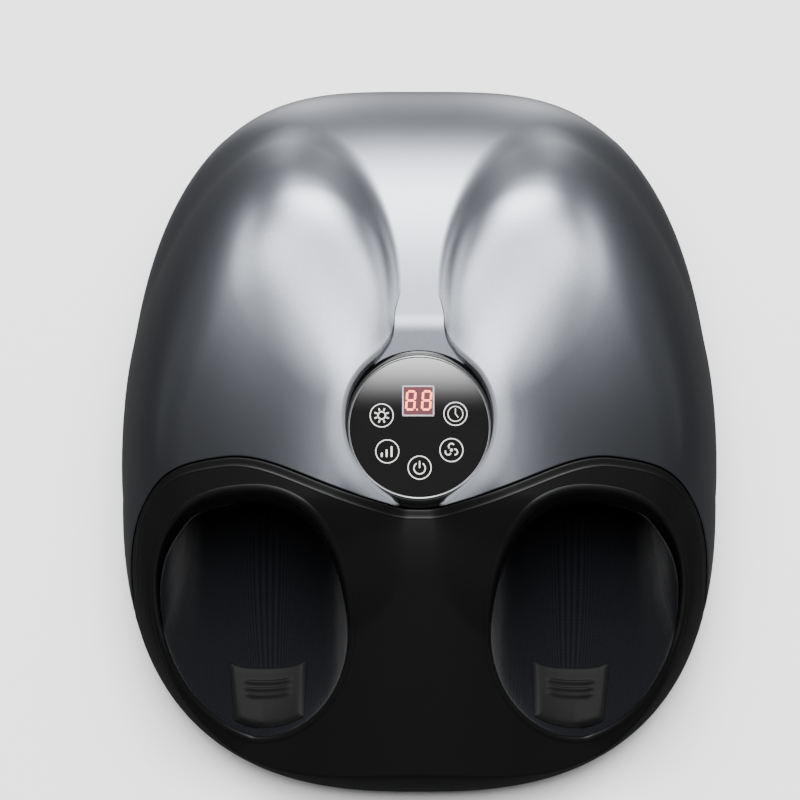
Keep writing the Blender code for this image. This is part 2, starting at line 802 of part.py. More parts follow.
def funnel(side):
    """The wall that turns down into a well, with a low lip on its rim."""
    count = WELL_SPOKES
    inner = well_rim(0.0, count)
    outer = well_rim(FUNNEL_WALL, count)
    rings = [[], [], [], [], []]
    for index in range(count):
        (x, y), (far_x, far_y) = inner[index], outer[index]
        mid_x, mid_y = (x + far_x) / 2.0, (y + far_y) / 2.0
        top = float(skin_height(np.float64(mid_x), np.float64(mid_y)))
        low = top - funnel_depth(2.0 * math.pi * index / count)
        rings[0].append((side * x, y, low))
        rings[1].append((side * x, y, top))
        rings[2].append((side * mid_x, mid_y, top + FUNNEL_LIP))
        rings[3].append((side * far_x, far_y, top - FUNNEL_LIP))
        rings[4].append((side * far_x, far_y, low))
    return looped(rings)


def make_front_fascia():
    """The black deck before the mouth line, with a funnel down into each well."""
    fascia = place("front_fascia", mesh_from("front_fascia", *skin_solid()), "black_satin")
    wells = []
    for side in (1.0, -1.0):
        plan = [(side * x, y) for x, y in well_rim(FUNNEL_WALL / 2.0, WELL_SPOKES)]
        wells.append(prism(plan, -OVERRUN, SKIRT_Z + DOME_RISE + OVERRUN))
    cut_with(fascia, "DIFFERENCE", wells, "MANIFOLD")
    cut_with(fascia, "UNION", [funnel(1.0), funnel(-1.0)], "MANIFOLD")
    cut_with(fascia, "INTERSECT", [mouth_prism(-SEAM / 2.0)], "MANIFOLD")
    bored_for_screws(fascia, screw_places()[2:], "MANIFOLD")


def outline_ring(inset, height):
    x, y = plan_point(spoke_angles(SPOKES), 1.0, inset)
    return [(float(a), float(b), height) for a, b in zip(x, y)]


def tray_top():
    return FOOT_HEIGHT + TRAY_FLOOR


def standoff_places():
    x = MAIN_BOARD_SIZE[0] / 2.0 - STANDOFF_INSET
    y = MAIN_BOARD_SIZE[1] / 2.0 - STANDOFF_INSET
    return [(sx * x, BOARD_Y + sy * y) for sx in (-1.0, 1.0) for sy in (-1.0, 1.0)]


def make_base_tray():
    """The tray that closes the bottom, with screw bosses, standoffs, vents and the inlet's hole."""
    low = FOOT_HEIGHT
    high = SKIRT_Z - GAP
    rings = [
        outline_ring(TRAY_TOE_INSET + TRAY_CHAMFER, low),
        outline_ring(TRAY_TOE_INSET, low + TRAY_CHAMFER),
        outline_ring(TRAY_INSET, high),
        outline_ring(TRAY_INSET + TRAY_WALL, high),
        outline_ring(TRAY_TOE_INSET + TRAY_WALL, tray_top()),
    ]
    tray = place("base_tray", mesh_from("base_tray", *stack(rings)), "black_matte")
    inside = tray_top() - TRAY_FLOOR / 2.0
    bosses = [rod(TRAY_BOSS_RADIUS, inside, high, centre=spot[0]) for spot in screw_places()]
    level = tray_top() + STANDOFF_HEIGHT
    stands = [rod(STANDOFF_RADIUS, inside, level, centre=spot) for spot in standoff_places()]
    cut_with(tray, "UNION", bosses + stands)
    head = SCREW_HEAD + GAP
    shank = SCREW_SHANK + GAP
    seat = FOOT_HEIGHT + SCREW_SEAT
    holes = []
    for spot, _ in screw_places():
        profile = [(head, low - OVERRUN), (head, seat), (shank, seat), (shank, high + OVERRUN)]
        holes.append(turned(profile, SMALL_ROUND, spot))
    for index in range(VENTS):
        y = VENT_Y + VENT_PITCH * (index - (VENTS - 1) / 2.0)
        corner = (-VENT_LENGTH / 2.0, y - VENT_WIDTH / 2.0, low - OVERRUN)
        holes.append(box(corner, (VENT_LENGTH / 2.0, y + VENT_WIDTH / 2.0, tray_top() + OVERRUN)))
    back = BACK_Y - TRAY_INSET
    recess = back - INLET_FLANGE_THICKNESS - GAP
    profile = [
        (INLET_RADIUS + GAP, back - TRAY_WALL - OVERRUN),
        (INLET_RADIUS + GAP, recess),
        (INLET_FLANGE + GAP, recess),
        (INLET_FLANGE + GAP, back + OVERRUN),
    ]
    holes.append(moved(about_y(turned(profile, SMALL_ROUND)), Matrix.Translation((0.0, 0.0, INLET_Z))))
    cut_with(tray, "DIFFERENCE", holes)


def make_power_inlet():
    """The socket for a mains adapter, in the tray's back wall, with its pin."""
    back = BACK_Y - TRAY_INSET - GAP
    seat = back - INLET_FLANGE_THICKNESS
    profile = [
        (0.0, seat - INLET_LENGTH),
        (INLET_RADIUS, seat - INLET_LENGTH),
        (INLET_RADIUS, seat),
        (INLET_FLANGE, seat),
        (INLET_FLANGE, back),
        (INLET_BORE, back),
        (INLET_BORE, back - INLET_BORE_DEPTH),
        (INLET_PIN, back - INLET_BORE_DEPTH),
        (INLET_PIN, back - INLET_FLANGE_THICKNESS),
        (0.0, back - INLET_FLANGE_THICKNESS),
    ]
    socket = about_y(turned(profile, SMALL_ROUND))
    place("power_inlet", mesh_from("power_inlet", *socket), "black_gloss", (0.0, 0.0, INLET_Z))


def make_feet():
    """Four rubber feet, each under a corner of the tray."""
    corners = {
        "foot_back_right": (RUBBER_X, RUBBER_BACK_Y),
        "foot_back_left": (-RUBBER_X, RUBBER_BACK_Y),
        "foot_front_right": (RUBBER_X, RUBBER_FRONT_Y),
        "foot_front_left": (-RUBBER_X, RUBBER_FRONT_Y),
    }
    inner = RUBBER_RADIUS - RUBBER_BEVEL
    profile = [(inner, 0.0), (RUBBER_RADIUS, RUBBER_BEVEL), (RUBBER_RADIUS, FOOT_HEIGHT - GAP)]
    for name, (x, y) in corners.items():
        place(name, mesh_from(name, *turned(profile, MEDIUM_ROUND)), "rubber", (x, y, 0.0))


def make_case_screws():
    """Four pan-head screws, up through the tray into the shells' bosses."""
    profile = [
        (0.0, -SCREW_HEAD_HEIGHT),
        (SCREW_HEAD * SCREW_CROWN_SHARE, -SCREW_HEAD_HEIGHT),
        (SCREW_HEAD, -SCREW_HEAD_HEIGHT * SCREW_EDGE_SHARE),
        (SCREW_HEAD, 0.0),
        (SCREW_SHANK, 0.0),
        (SCREW_SHANK, SCREW_LENGTH - SCREW_SHANK),
        (0.0, SCREW_LENGTH),
    ]
    seat = FOOT_HEIGHT + SCREW_SEAT - GAP
    corners = ("back_right", "back_left", "front_right", "front_left")
    for corner, (spot, _) in zip(corners, screw_places()):
        name = f"case_screw_{corner}"
        place(name, mesh_from(name, *turned(profile, SMALL_ROUND)), "zinc", (*spot, seat))


def make_control_stack():
    """Collar, bezel ring, glass, display, touch board and cup, about the console's normal."""
    collar = [
        (COLLAR_INNER, -COLLAR_DEPTH),
        (COLLAR_OUTER, -COLLAR_DEPTH),
        (COLLAR_OUTER, COLLAR_TOP * COLLAR_EDGE_SHARE),
        ((COLLAR_OUTER + COLLAR_INNER) / 2.0, COLLAR_TOP),
        (COLLAR_INNER, COLLAR_TOP),
    ]
    bezel = [
        (BEZEL_LEDGE, BEZEL_BOTTOM),
        (BEZEL_OUTER, BEZEL_BOTTOM),
        (BEZEL_OUTER, BEZEL_TOP - GAP),
        ((BEZEL_OUTER + BEZEL_INNER) / 2.0, BEZEL_TOP),
        (BEZEL_INNER, BEZEL_TOP - GAP),
        (BEZEL_INNER, GLASS_LIFT - GAP),
        (BEZEL_LEDGE, GLASS_LIFT - GAP),
    ]
    glass_top = GLASS_LIFT + GLASS_THICKNESS
    glass = [(GLASS_RADIUS, GLASS_LIFT), (GLASS_RADIUS, glass_top - GAP), (GLASS_RADIUS - GAP, glass_top)]
    board_top = BEZEL_BOTTOM - GAP
    board_low = board_top - BOARD_THICKNESS
    cup_top = board_low - GAP
    cup = [
        (0.0, cup_top - CUP_DEPTH),
        (BOARD_RADIUS - CUP_WALL, cup_top - CUP_DEPTH),
        (BOARD_RADIUS, cup_top - CUP_DEPTH + CUP_WALL),
        (BOARD_RADIUS, cup_top),
        (BOARD_RADIUS - CUP_WALL, cup_top),
        (BOARD_RADIUS - CUP_WALL, cup_top - CUP_DEPTH + CUP_WALL * 2.0),
        (0.0, cup_top - CUP_DEPTH + CUP_WALL * 2.0),
    ]
    board = [(0.0, board_low), (BOARD_RADIUS, board_low), (BOARD_RADIUS, board_top), (0.0, board_top)]
    place_on_dial("control_collar", turned(collar, DIAL_ROUND, bored=True), "black_gloss")
    place_on_dial("bezel_ring", turned(bezel, DIAL_ROUND, bored=True), "chrome")
    place_on_dial("control_glass", turned(glass, DIAL_ROUND), "glass")
    place_on_dial("touch_board", turned(board), "board")
    place_on_dial("control_cup", turned(cup), "black_matte")
    low = (-DISPLAY_HALF_WIDTH, DISPLAY_Y - DISPLAY_HALF_HEIGHT, board_top + GAP)
    high = (DISPLAY_HALF_WIDTH, DISPLAY_Y + DISPLAY_HALF_HEIGHT, GLASS_LIFT - GAP)
    place_on_dial("display_module", box(low, high), "display")


def place_on_dial(name, part, slot):
    """Puts a piece in the control stack's frame."""
    spot = dial_matrix().to_translation()
    place(name, mesh_from(name, *part), slot, spot, None, (CONSOLE_TILT, 0.0, 0.0))


def thread_solid():
    """The worm's thread: a trapezoid carried along a right-hand helix, from end to end."""
    tip = WORM_PITCH_RADIUS + ADDENDUM
    root = WORM_PITCH_RADIUS - DEDENDUM - THREAD_SINK
    half = (LEAD / 2.0 - TOOTH_SLACK) / 2.0
    tip_half = half - ADDENDUM * math.tan(PRESSURE_ANGLE)
    root_half = half + (DEDENDUM + THREAD_SINK) * math.tan(PRESSURE_ANGLE)
    turns = WORM_LENGTH / LEAD
    steps = int(turns * THREAD_STEPS)
    rings = []
    for index in range(steps + 1):
        turn = 2.0 * math.pi * (index - steps / 2.0) / THREAD_STEPS
        x = LEAD * turn / (2.0 * math.pi)
        corners = [(-root_half, root), (-tip_half, tip), (tip_half, tip), (root_half, root)]
        rings.append([(x + dx, r * math.cos(turn), r * math.sin(turn)) for dx, r in corners])
    return stack(rings)


def make_worm(frame):
    """A bored core with the thread joined on."""
    core = WORM_PITCH_RADIUS - DEDENDUM
    bore = SHAFT_RADIUS + RUNNING_GAP
    half = WORM_LENGTH / 2.0 + WORM_HUB
    profile = [(bore, -half), (core, -half), (core, half), (bore, half)]
    core_solid = about_x(turned(profile, MEDIUM_ROUND, bored=True))
    worm = place("worm_right", mesh_from("worm_right", *core_solid), "brass", parent=frame)
    cut_with(worm, "UNION", [thread_solid()])
    return worm


def wheel_solid():
    """A worm wheel of flat-sided teeth, skewed from face to face by the lead angle."""
    half_pitch = math.pi * MODULE / 2.0 - TOOTH_SLACK
    root = WHEEL_PITCH_RADIUS - DEDENDUM
    tip = WHEEL_PITCH_RADIUS + ADDENDUM
    tip_half = half_pitch / 2.0 - ADDENDUM * math.tan(PRESSURE_ANGLE)
    root_half = half_pitch / 2.0 + DEDENDUM * math.tan(PRESSURE_ANGLE)
    lead_slope = LEAD / (2.0 * math.pi * WORM_PITCH_RADIUS)
    bore = SHAFT_RADIUS + RUNNING_GAP
    corners = ((-root_half, root), (-tip_half, tip), (tip_half, tip), (root_half, root))
    faces_at = (-WHEEL_FACE / 2.0, WHEEL_FACE / 2.0)
    points = []
    for height in faces_at:
        twist = height * lead_slope / WHEEL_PITCH_RADIUS
        for tooth in range(WHEEL_TEETH):
            centre = twist + 2.0 * math.pi * tooth / WHEEL_TEETH
            for half, radius in corners:
                angle = centre + half / radius
                points.append((radius * math.cos(angle), radius * math.sin(angle), height))
    count = WHEEL_TEETH * len(corners)
    faces = [[k, (k + 1) % count, count + (k + 1) % count, count + k] for k in range(count)]
    bore_count = WHEEL_TEETH // 2
    for height in faces_at:
        points.extend(circle(bore, height, bore_count))
    step = 2 * len(corners)
    for layer in range(2):
        inner = 2 * count + layer * bore_count
        for spoke in range(bore_count):
            following = (spoke + 1) % bore_count
            arc = [layer * count + (step * spoke + 1 + k) % count for k in range(step + 1)]
            face = [inner + following, inner + spoke, *arc]
            faces.append(face if layer else face[::-1])
    low = 2 * count
    high = low + bore_count
    for spoke in range(bore_count):
        following = (spoke + 1) % bore_count
        faces.append([low + following, low + spoke, high + spoke, high + following])
    return points, faces


def make_wheel(name, frame, along):
    """A wheel behind or before the worm, its teeth set to mesh with the thread."""
    towards_worm = -math.pi / 2.0 if along > 0.0 else math.pi / 2.0
    half_tooth = math.pi / WHEEL_TEETH if along > 0.0 else 0.0
    solid = moved(wheel_solid(), Matrix.Rotation(towards_worm + half_tooth, 4, "Z"))
    spot = (0.0, along * DRIVE_CENTRES, 0.0)
    return place(name, mesh_from(name, *solid), "white_nylon", spot, frame)


def lobe(turn):
    """One kneading lobe, a rounded knob that stands on the head's plate."""
    centre = (LOBE_ORBIT * math.cos(turn), LOBE_ORBIT * math.sin(turn))
    low = head_plate_top() - LOBE_SINK
    profile = [(LOBE_RADIUS, low)]
    for index in range(1, LOBE_STEPS + 1):
        angle = math.pi / 2.0 * index / LOBE_STEPS
        radius = LOBE_RADIUS * math.cos(angle) ** LOBE_SIDE_POWER if index < LOBE_STEPS else 0.0
        profile.append((radius, low + (LOBE_TOP - low) * math.sin(angle) ** LOBE_RISE_POWER))
    return turned(profile, SMALL_ROUND, centre)


def head_plate_low():
    return WORM_PITCH_RADIUS + ADDENDUM + HEAD_CLEARANCE


def head_plate_top():
    return head_plate_low() + HEAD_PLATE


def make_head(name, frame, along):
    """A three-lobed kneading head: a disc above the worm, its hub on the wheel below."""
    bore = SHAFT_RADIUS + RUNNING_GAP
    low = head_plate_low()
    top = head_plate_top()
    on_wheel = WHEEL_FACE / 2.0 + GAP
    profile = [
        (bore, on_wheel),
        (HEAD_HUB_RADIUS, on_wheel),
        (HEAD_HUB_RADIUS, low),
        (HEAD_RADIUS, low),
        (HEAD_RADIUS, top - HEAD_PLATE / 4.0),
        (HEAD_RADIUS - HEAD_PLATE / 4.0, top),
        (bore, top),
    ]
    spot = (0.0, along * DRIVE_CENTRES, 0.0)
    disc = turned(profile, bored=True)
    head = place(name, mesh_from(name, *disc), "grey_plastic", spot, frame)
    start = math.pi / 2.0 * along
    turns = [start + 2.0 * math.pi * index / LOBES for index in range(LOBES)]
    cut_with(head, "UNION", [lobe(turn) for turn in turns])
    return head


def case_floor_top():
    return -(WORM_PITCH_RADIUS + ADDENDUM) - CASE_UNDER_WORM


def racetrack(radius):
    """Two half circles round the two wheels' centres, joined by straights."""
    plan = []
    for along in (1.0, -1.0):
        for index in range(RACE_STEPS + 1):
            turn = math.pi * index / RACE_STEPS + (0.0 if along > 0.0 else math.pi)
            plan.append((radius * math.cos(turn), along * DRIVE_CENTRES + radius * math.sin(turn)))
    return plan


def post(x, y, top, radius=POST_RADIUS, count=POST_ROUND):
    """A post in the sole frame, upright in the world, from the tray's floor to a level of the frame."""
    foot = tray_top() + GAP
    rings = [[], []]
    up = SOLE_BACK.to_3x3() @ Vector((0.0, 0.0, 1.0))
    for index in range(count):
        turn = 2.0 * math.pi * index / count
        head = Vector((x + radius * math.cos(turn), y + radius * math.sin(turn), top))
        world = SOLE @ head
        rings[0].append(tuple(head - up * (world.z - foot)))
        rings[1].append(tuple(head))
    return stack(rings)


def make_gear_case(frame):
    """The open case round a worm and its two wheels, with bearing blocks, pin bosses and posts."""
    floor = case_floor_top()
    low = floor - CASE_FLOOR
    room = WHEEL_PITCH_RADIUS + ADDENDUM + CASE_ROOM
    block = prism(racetrack(room + CASE_WALL), low, CASE_RIM)
    case = place("gear_case_right", mesh_from("gear_case_right", *block), "grey_plastic", parent=frame)
    cut_with(case, "DIFFERENCE", [prism(racetrack(room), floor, CASE_RIM + OVERRUN)])
    parts = []
    for side in (1.0, -1.0):
        near = room + CASE_WALL - BLOCK_THICKNESS
        far = room + CASE_WALL + GAP
        inside = floor - CASE_FLOOR / 2.0
        first = (min(side * near, side * far), -BLOCK_HALF_WIDTH, inside)
        second = (max(side * near, side * far), BLOCK_HALF_WIDTH, BLOCK_TOP)
        parts.append(box(first, second))
        boss_top = -WHEEL_FACE / 2.0 - GAP
        parts.append(rod(PIN_BOSS_RADIUS, inside, boss_top, centre=(0.0, side * DRIVE_CENTRES)))
        for along in (1.0, -1.0):
            parts.append(post(side * CASE_POST_X, along * CASE_POST_Y, low + POST_SINK))
    cut_with(case, "UNION", parts)
    bush = bush_radius() + GAP
    across = room + CASE_WALL + OVERRUN
    pin = SHAFT_RADIUS + GAP
    centres = [(0.0, side * DRIVE_CENTRES) for side in (1.0, -1.0)]
    bores = [rod(pin, low - OVERRUN, 0.0, centre=centre) for centre in centres]
    inner_end = room + CASE_WALL - BLOCK_THICKNESS - CASE_WALL
    bores.append(about_x(rod(bush, inner_end, across, MEDIUM_ROUND)))
    bores.append(about_x(rod(bush, -across, -inner_end, MEDIUM_ROUND)))
    cut_with(case, "DIFFERENCE", bores)
    return case


def bush_radius():
    return SHAFT_RADIUS + RUNNING_GAP + BUSH_WALL


def make_bush(name, frame, side):
    """A flanged bush in a bearing block, its flange outside the case."""
    face = WHEEL_PITCH_RADIUS + ADDENDUM + CASE_ROOM + CASE_WALL + GAP
    bore = SHAFT_RADIUS + RUNNING_GAP
    profile = [
        (bore, face - BLOCK_THICKNESS),
        (bush_radius(), face - BLOCK_THICKNESS),
        (bush_radius(), face + GAP),
        (BUSH_FLANGE_RADIUS, face + GAP),
        (BUSH_FLANGE_RADIUS, face + GAP + BUSH_FLANGE),
        (bore, face + GAP + BUSH_FLANGE),
    ]
    if side < 0.0:
        profile = [(radius, -x) for radius, x in profile]
    bush = about_x(turned(profile, MEDIUM_ROUND, bored=True))
    return place(name, mesh_from(name, *bush), "white_nylon", parent=frame)


def make_pin(name, frame, along):
    """The steel pin that a wheel and its head turn on."""
    low = case_floor_top() - CASE_FLOOR + GAP
    high = head_plate_top() + PIN_PROUD
    profile = [(SHAFT_RADIUS, low), (SHAFT_RADIUS, high - PIN_SHORT), (SHAFT_RADIUS - PIN_SHORT, high)]
    spot = (0.0, along * DRIVE_CENTRES, 0.0)
    return place(name, mesh_from(name, *turned(profile, SMALL_ROUND)), "steel", spot, frame)


def window_radius(margin):
    """Circumradius of a window whose flats clear a head by a margin."""
    return (HEAD_RADIUS + margin) / math.cos(math.pi / ROUND)


def sole_sheet(inset, low, high, margin, slot, name, frame):
    """A layer under the foot, drawn in by an inset, with its windows still to be cut."""
    plan = superellipse(PLATE_HALF_WIDTH - inset, PLATE_HALF_LENGTH - inset, PLATE_POWER, ROUND)
    plan = [(x - FOOT_LEAN_SHARE * (y + PLATE_Y), y + PLATE_Y) for x, y in plan]
    sheet = place(name, mesh_from(name, *prism(plan, low, high)), slot, parent=frame)
    radius = window_radius(margin)
    centres = [(0.0, along * DRIVE_CENTRES) for along in (1.0, -1.0)]
    return sheet, [rod(radius, low - OVERRUN, high + OVERRUN, ROUND, centre) for centre in centres]


def make_sole_plate(frame):
    """The plate under the foot, with a window for each head, on four posts."""
    top = PLATE_BOTTOM + PLATE_THICKNESS
    name = "sole_plate_right"
    plate, holes = sole_sheet(0.0, PLATE_BOTTOM, top, WINDOW_MARGIN, "black_matte", name, frame)
    middle = PLATE_BOTTOM + PLATE_THICKNESS / 2.0
    posts = []
    for y in (PLATE_POST_BACK, PLATE_POST_FRONT):
        for side in (1.0, -1.0):
            posts.append(post(side * PLATE_POST_X - FOOT_LEAN_SHARE * y, y, middle))
    cut_with(plate, "UNION", posts)
    cut_with(plate, "DIFFERENCE", holes)
    return plate


def make_heater(frame):
    """The felt-backed heater over the plate, with the same windows."""
    low = PLATE_BOTTOM + PLATE_THICKNESS + GAP
    high = low + HEATER_THICKNESS
    margin = WINDOW_MARGIN * 2.0
    heater, holes = sole_sheet(HEATER_INSET, low, high, margin, "felt", "heater_pad_right", frame)
    cut_with(heater, "DIFFERENCE", holes)
    return heater


def pocket_size(along):
    """Half width and height of the pocket's tunnel at a place along the foot."""
    share = (along - POCKET_START) / (POCKET_END - POCKET_START)
    rounding = max(1.0 - max(share, 0.0) ** TOE_ROUND_POWER, 0.0) ** (1.0 / TOE_ROUND_POWER)
    width = POCKET_HALF_WIDTH * (1.0 + (POCKET_TOE_WIDTH_SHARE - 1.0) * share) * rounding
    height = POCKET_HEIGHT * (1.0 + (POCKET_TOE_SHARE - 1.0) * share) * rounding
    return width, height


def tunnel_point(along, turn, grow):
    """A point of the tunnel in the sole frame: turn 0 is its top, and half a turn its floor."""
    half, height = pocket_size(along)
    belt = POCKET_WIDEST_SHARE * height
    power = POCKET_TOP_POWER if math.cos(turn) > 0.0 else POCKET_FLOOR_POWER
    side = math.copysign(abs(math.sin(turn)) ** (2.0 / power), math.sin(turn))
    up = math.copysign(abs(math.cos(turn)) ** (2.0 / power), math.cos(turn))
    rise = height - belt if up > 0.0 else belt
    x = -FOOT_LEAN_SHARE * along + (half + grow) * side
    return Vector((x, along, FLOOR_HEIGHT + LINER + belt + (rise + grow) * up))


def bend_point(share, turn, grow):
    """A point between the well's funnel and the tunnel, in the sole frame.

    It lies on a cubic that drops from the rim to the tunnel's level, then runs along the foot:
    (1-t)^3 rim + 3 (1-t)^2 t dropped + 3 (1-t) t^2 pulled + t^3 tunnel.
    """
    spoke = round(turn / (2.0 * math.pi) * POCKET_SPOKES) % POCKET_SPOKES
    rim = well_rim(grow, POCKET_SPOKES)[spoke]
    level = float(skin_height(np.float64(rim[0]), np.float64(rim[1])))
    start = SOLE_BACK @ Vector((rim[0], rim[1], level - funnel_depth(turn) - FUNNEL_LIP - LINER))
    end = tunnel_point(POCKET_START, turn, grow)
    sole = (1.0 - math.cos(turn)) / 2.0
    settled = SETTLE_SHARE * min(sole / SETTLE_START_SHARE, 1.0)
    dropped = Vector((start.x, start.y, start.z + (end.z - start.z) * settled))
    pulled = end - Vector((0.0, TOP_PULL + (SOLE_PULL - TOP_PULL) * sole, 0.0))
    weights = ((1 - share) ** 3, 3 * (1 - share) ** 2 * share, 3 * (1 - share) * share**2, share**3)
    point = start * weights[0] + dropped * weights[1] + pulled * weights[2] + end * weights[3]
    point.z = max(point.z, FLOOR_HEIGHT + LINER - grow)
    return point


def pocket_rings(grow, end_inset):
    """Rings of the pocket from its mouth to its toe, in the world."""
    turns = [2.0 * math.pi * index / POCKET_SPOKES for index in range(POCKET_SPOKES)]
    rings = []
    for step in range(POCKET_BEND_STEPS):
        rings.append([tuple(SOLE @ bend_point(step / POCKET_BEND_STEPS, turn, grow)) for turn in turns])
    for step in range(POCKET_TUNNEL_STEPS):
        share = math.sin(math.pi / 2.0 * step / POCKET_TUNNEL_STEPS)
        along = POCKET_START + (POCKET_END - end_inset - POCKET_START) * share
        rings.append([tuple(SOLE @ tunnel_point(along, turn, grow)) for turn in turns])
    level = FLOOR_HEIGHT + LINER + TOE_HEIGHT
    toe = Vector((-FOOT_LEAN_SHARE * POCKET_END, POCKET_END + grow, level))
    rings.append([tuple(SOLE @ toe)])
    return rings


def make_liner():
    """The cloth pocket: an outer and an inner sock, joined at the mouth."""
    outer = pocket_rings(0.0, LINER)
    inner = pocket_rings(-LINER, LINER * 2.0)
    points, faces = stack([*reversed(inner), *outer])
    return place("well_liner_right", mesh_from("well_liner_right", points, faces), "fabric")


def make_bag(frame):
    """The instep airbag: a saddle over the pocket, fuller in its middle, with a nipple at the back."""
    rings = []
    for step in range(BAG_STEPS + 1):
        share = step / BAG_STEPS
        along = BAG_START + (BAG_END - BAG_START) * share
        under = []
        over = []
        for spoke in range(BAG_SPOKES + 1):
            turn = BAG_REACH * (2.0 * spoke / BAG_SPOKES - 1.0)
            middle = max(math.sin(math.pi * share), 0.0) * math.cos(math.pi / 2.0 * turn / BAG_REACH)
            swell = BAG_EDGE + BAG_SWELL * math.sqrt(middle)
            under.append(tuple(tunnel_point(along, turn, BAG_SPACE)))
            over.append(tuple(tunnel_point(along, turn, BAG_SPACE + swell)))
        rings.append(over + under[::-1])
    name = "instep_airbag_right"
    bag = place(name, mesh_from(name, *stack(rings)), "bladder", parent=frame)
    x, y, z = bag_nipple(BAG_END)
    nipple = about_y(rod(BAG_NIPPLE_RADIUS, -BAG_NIPPLE_LENGTH, BAG_NIPPLE_LENGTH, POST_ROUND))
    cut_with(bag, "UNION", [moved(nipple, Matrix.Translation((x, y, z)))])
    return bag


def bag_nipple(along):
    """Where the bag's nipple lies, in the sole frame."""
    return tunnel_point(along, 0.0, BAG_SPACE + BAG_NIPPLE_RADIUS)


def arch_outline(along, grow):
    """The arch over the bag: two upright legs and the tunnel's own crown."""
    half, height = pocket_size(along)
    foot = PLATE_BOTTOM + PLATE_THICKNESS + GAP
    lean = -FOOT_LEAN_SHARE * along
    points = [(lean + half + ARCH_SPACE + grow, along, foot)]
    for spoke in range(ARCH_SPOKES + 1):
        turn = math.pi / 2.0 - math.pi * spoke / ARCH_SPOKES
        point = tunnel_point(along, turn, ARCH_SPACE + grow)
        points.append(tuple(point))
    points.append((lean - half - ARCH_SPACE - grow, along, foot))
    return points


def make_arch(frame):
    """The rigid arch over the airbag, on feet beside the sole plate, trimmed to the shell's room."""
    rings = []
    for step in range(ARCH_STEPS + 1):
        along = ARCH_START + (ARCH_END - ARCH_START) * step / ARCH_STEPS
        rings.append(arch_outline(along, ARCH_WALL) + arch_outline(along, 0.0)[::-1])
    name = "foot_arch_right"
    arch = place(name, mesh_from(name, *stack(rings)), "grey_plastic", parent=frame)
    points, faces = room_solid(ARCH_CLEARANCE)
    cut_with(arch, "INTERSECT", [([tuple(SOLE_BACK @ Vector(point)) for point in points], faces)])
    return arch


def make_heel_rest(frame):
    """The smooth heel plate, laid on the pocket's floor, with raised ribs towards the toes.

    Its rings run from the toes to the heel, as the pocket's inner rings do, so the facets of the
    two split along the same diagonals and stay clear of each other.
    """
    under = -(LINER + HEEL_LIFT)
    over = under - HEEL_THICKNESS
    turns = [math.pi + 2.0 * math.pi * spoke / POCKET_SPOKES for spoke in HEEL_SPOKES]
    rings = []
    for step in HEEL_STEPS:
        share = step / POCKET_BEND_STEPS
        low = [tuple(bend_point(share, turn, under)) for turn in turns]
        top = [tuple(bend_point(share, turn, over)) for turn in turns]
        rings.append(low + top[::-1])
    name = "heel_rest_right"
    rest = place(name, mesh_from(name, *stack(rings)), "grey_plastic", parent=frame)
    cut_with(rest, "UNION", [heel_rib(step / POCKET_BEND_STEPS) for step in HEEL_RIB_STEPS])
    return rest


def heel_rib(share):
    """A rib across the heel plate, bent with its dish at the middle spoke."""
    grow = -(LINER + HEEL_LIFT + HEEL_THICKNESS)
    spoke = 2.0 * math.pi / POCKET_SPOKES
    middle = bend_point(share, math.pi, grow)
    rings = []
    for side in (1.0, 0.0, -1.0):
        end = bend_point(share, math.pi + side * spoke, grow)
        centre = middle + (end - middle) * (HEEL_RIB_REACH_SHARE * abs(side))
        section = circle(HEEL_RIB_RADIUS, 0.0, POST_ROUND)
        rings.append([tuple(centre + Vector((0.0, y, z))) for y, z, _ in section])
    return stack(rings)


def make_drive_shaft():
    """The one shaft from end to end, through the motor and both worms."""
    end = SOLE_X + SHAFT_END + CASE_WALL
    tip = SHAFT_RADIUS / 3.0
    profile = [
        (SHAFT_RADIUS - tip, -end),
        (SHAFT_RADIUS, tip - end),
        (SHAFT_RADIUS, end - tip),
        (SHAFT_RADIUS - tip, end),
    ]
    mesh = mesh_from("drive_shaft", *about_x(turned(profile, SMALL_ROUND)))
    spot = (0.0, SOLE_Y, SOLE_Z)
    place("drive_shaft", mesh, "steel", spot, None, (SOLE_TILT, 0.0, 0.0))


def make_motor():
    """The double-ended motor, its cradle on the tray and the strap over it."""
    bore = SHAFT_RADIUS + RUNNING_GAP
    cap = MOTOR_RADIUS - MOTOR_CAP_STEP
    half = MOTOR_HALF_LENGTH
    step = half * MOTOR_CAP_SHARE
    nose = half + MOTOR_NOSE
    profile = [(bore, -nose), (MOTOR_NOSE_RADIUS, -nose), (MOTOR_NOSE_RADIUS, -half), (cap, -half)]
    profile += [(cap, -step), (MOTOR_RADIUS, -step)]
    profile += [(radius, -height) for radius, height in reversed(profile)]
    spot = (0.0, SOLE_Y, SOLE_Z)
    motor = about_x(turned(profile, ROUND, bored=True))
    place("drive_motor", mesh_from("drive_motor", *motor), "zinc", spot)
    low = (-CRADLE_HALF_LENGTH, -CRADLE_HALF_WIDTH, tray_top() + GAP - SOLE_Z)
    high = (CRADLE_HALF_LENGTH, CRADLE_HALF_WIDTH, -GAP / 2.0)
    cradle = place("motor_cradle", mesh_from("motor_cradle", *box(low, high)), "grey_plastic", spot)
    end = CRADLE_HALF_LENGTH + OVERRUN
    room = rod(MOTOR_RADIUS + GAP, -end, end, ROUND)
    cut_with(cradle, "DIFFERENCE", [about_x(room)])
    ends = (-STRAP_HALF_LENGTH, STRAP_HALF_LENGTH)
    strap = stack([[(x, y, z) for y, z in strap_outline()] for x in ends])
    place("motor_strap", mesh_from("motor_strap", *strap), "zinc", spot)


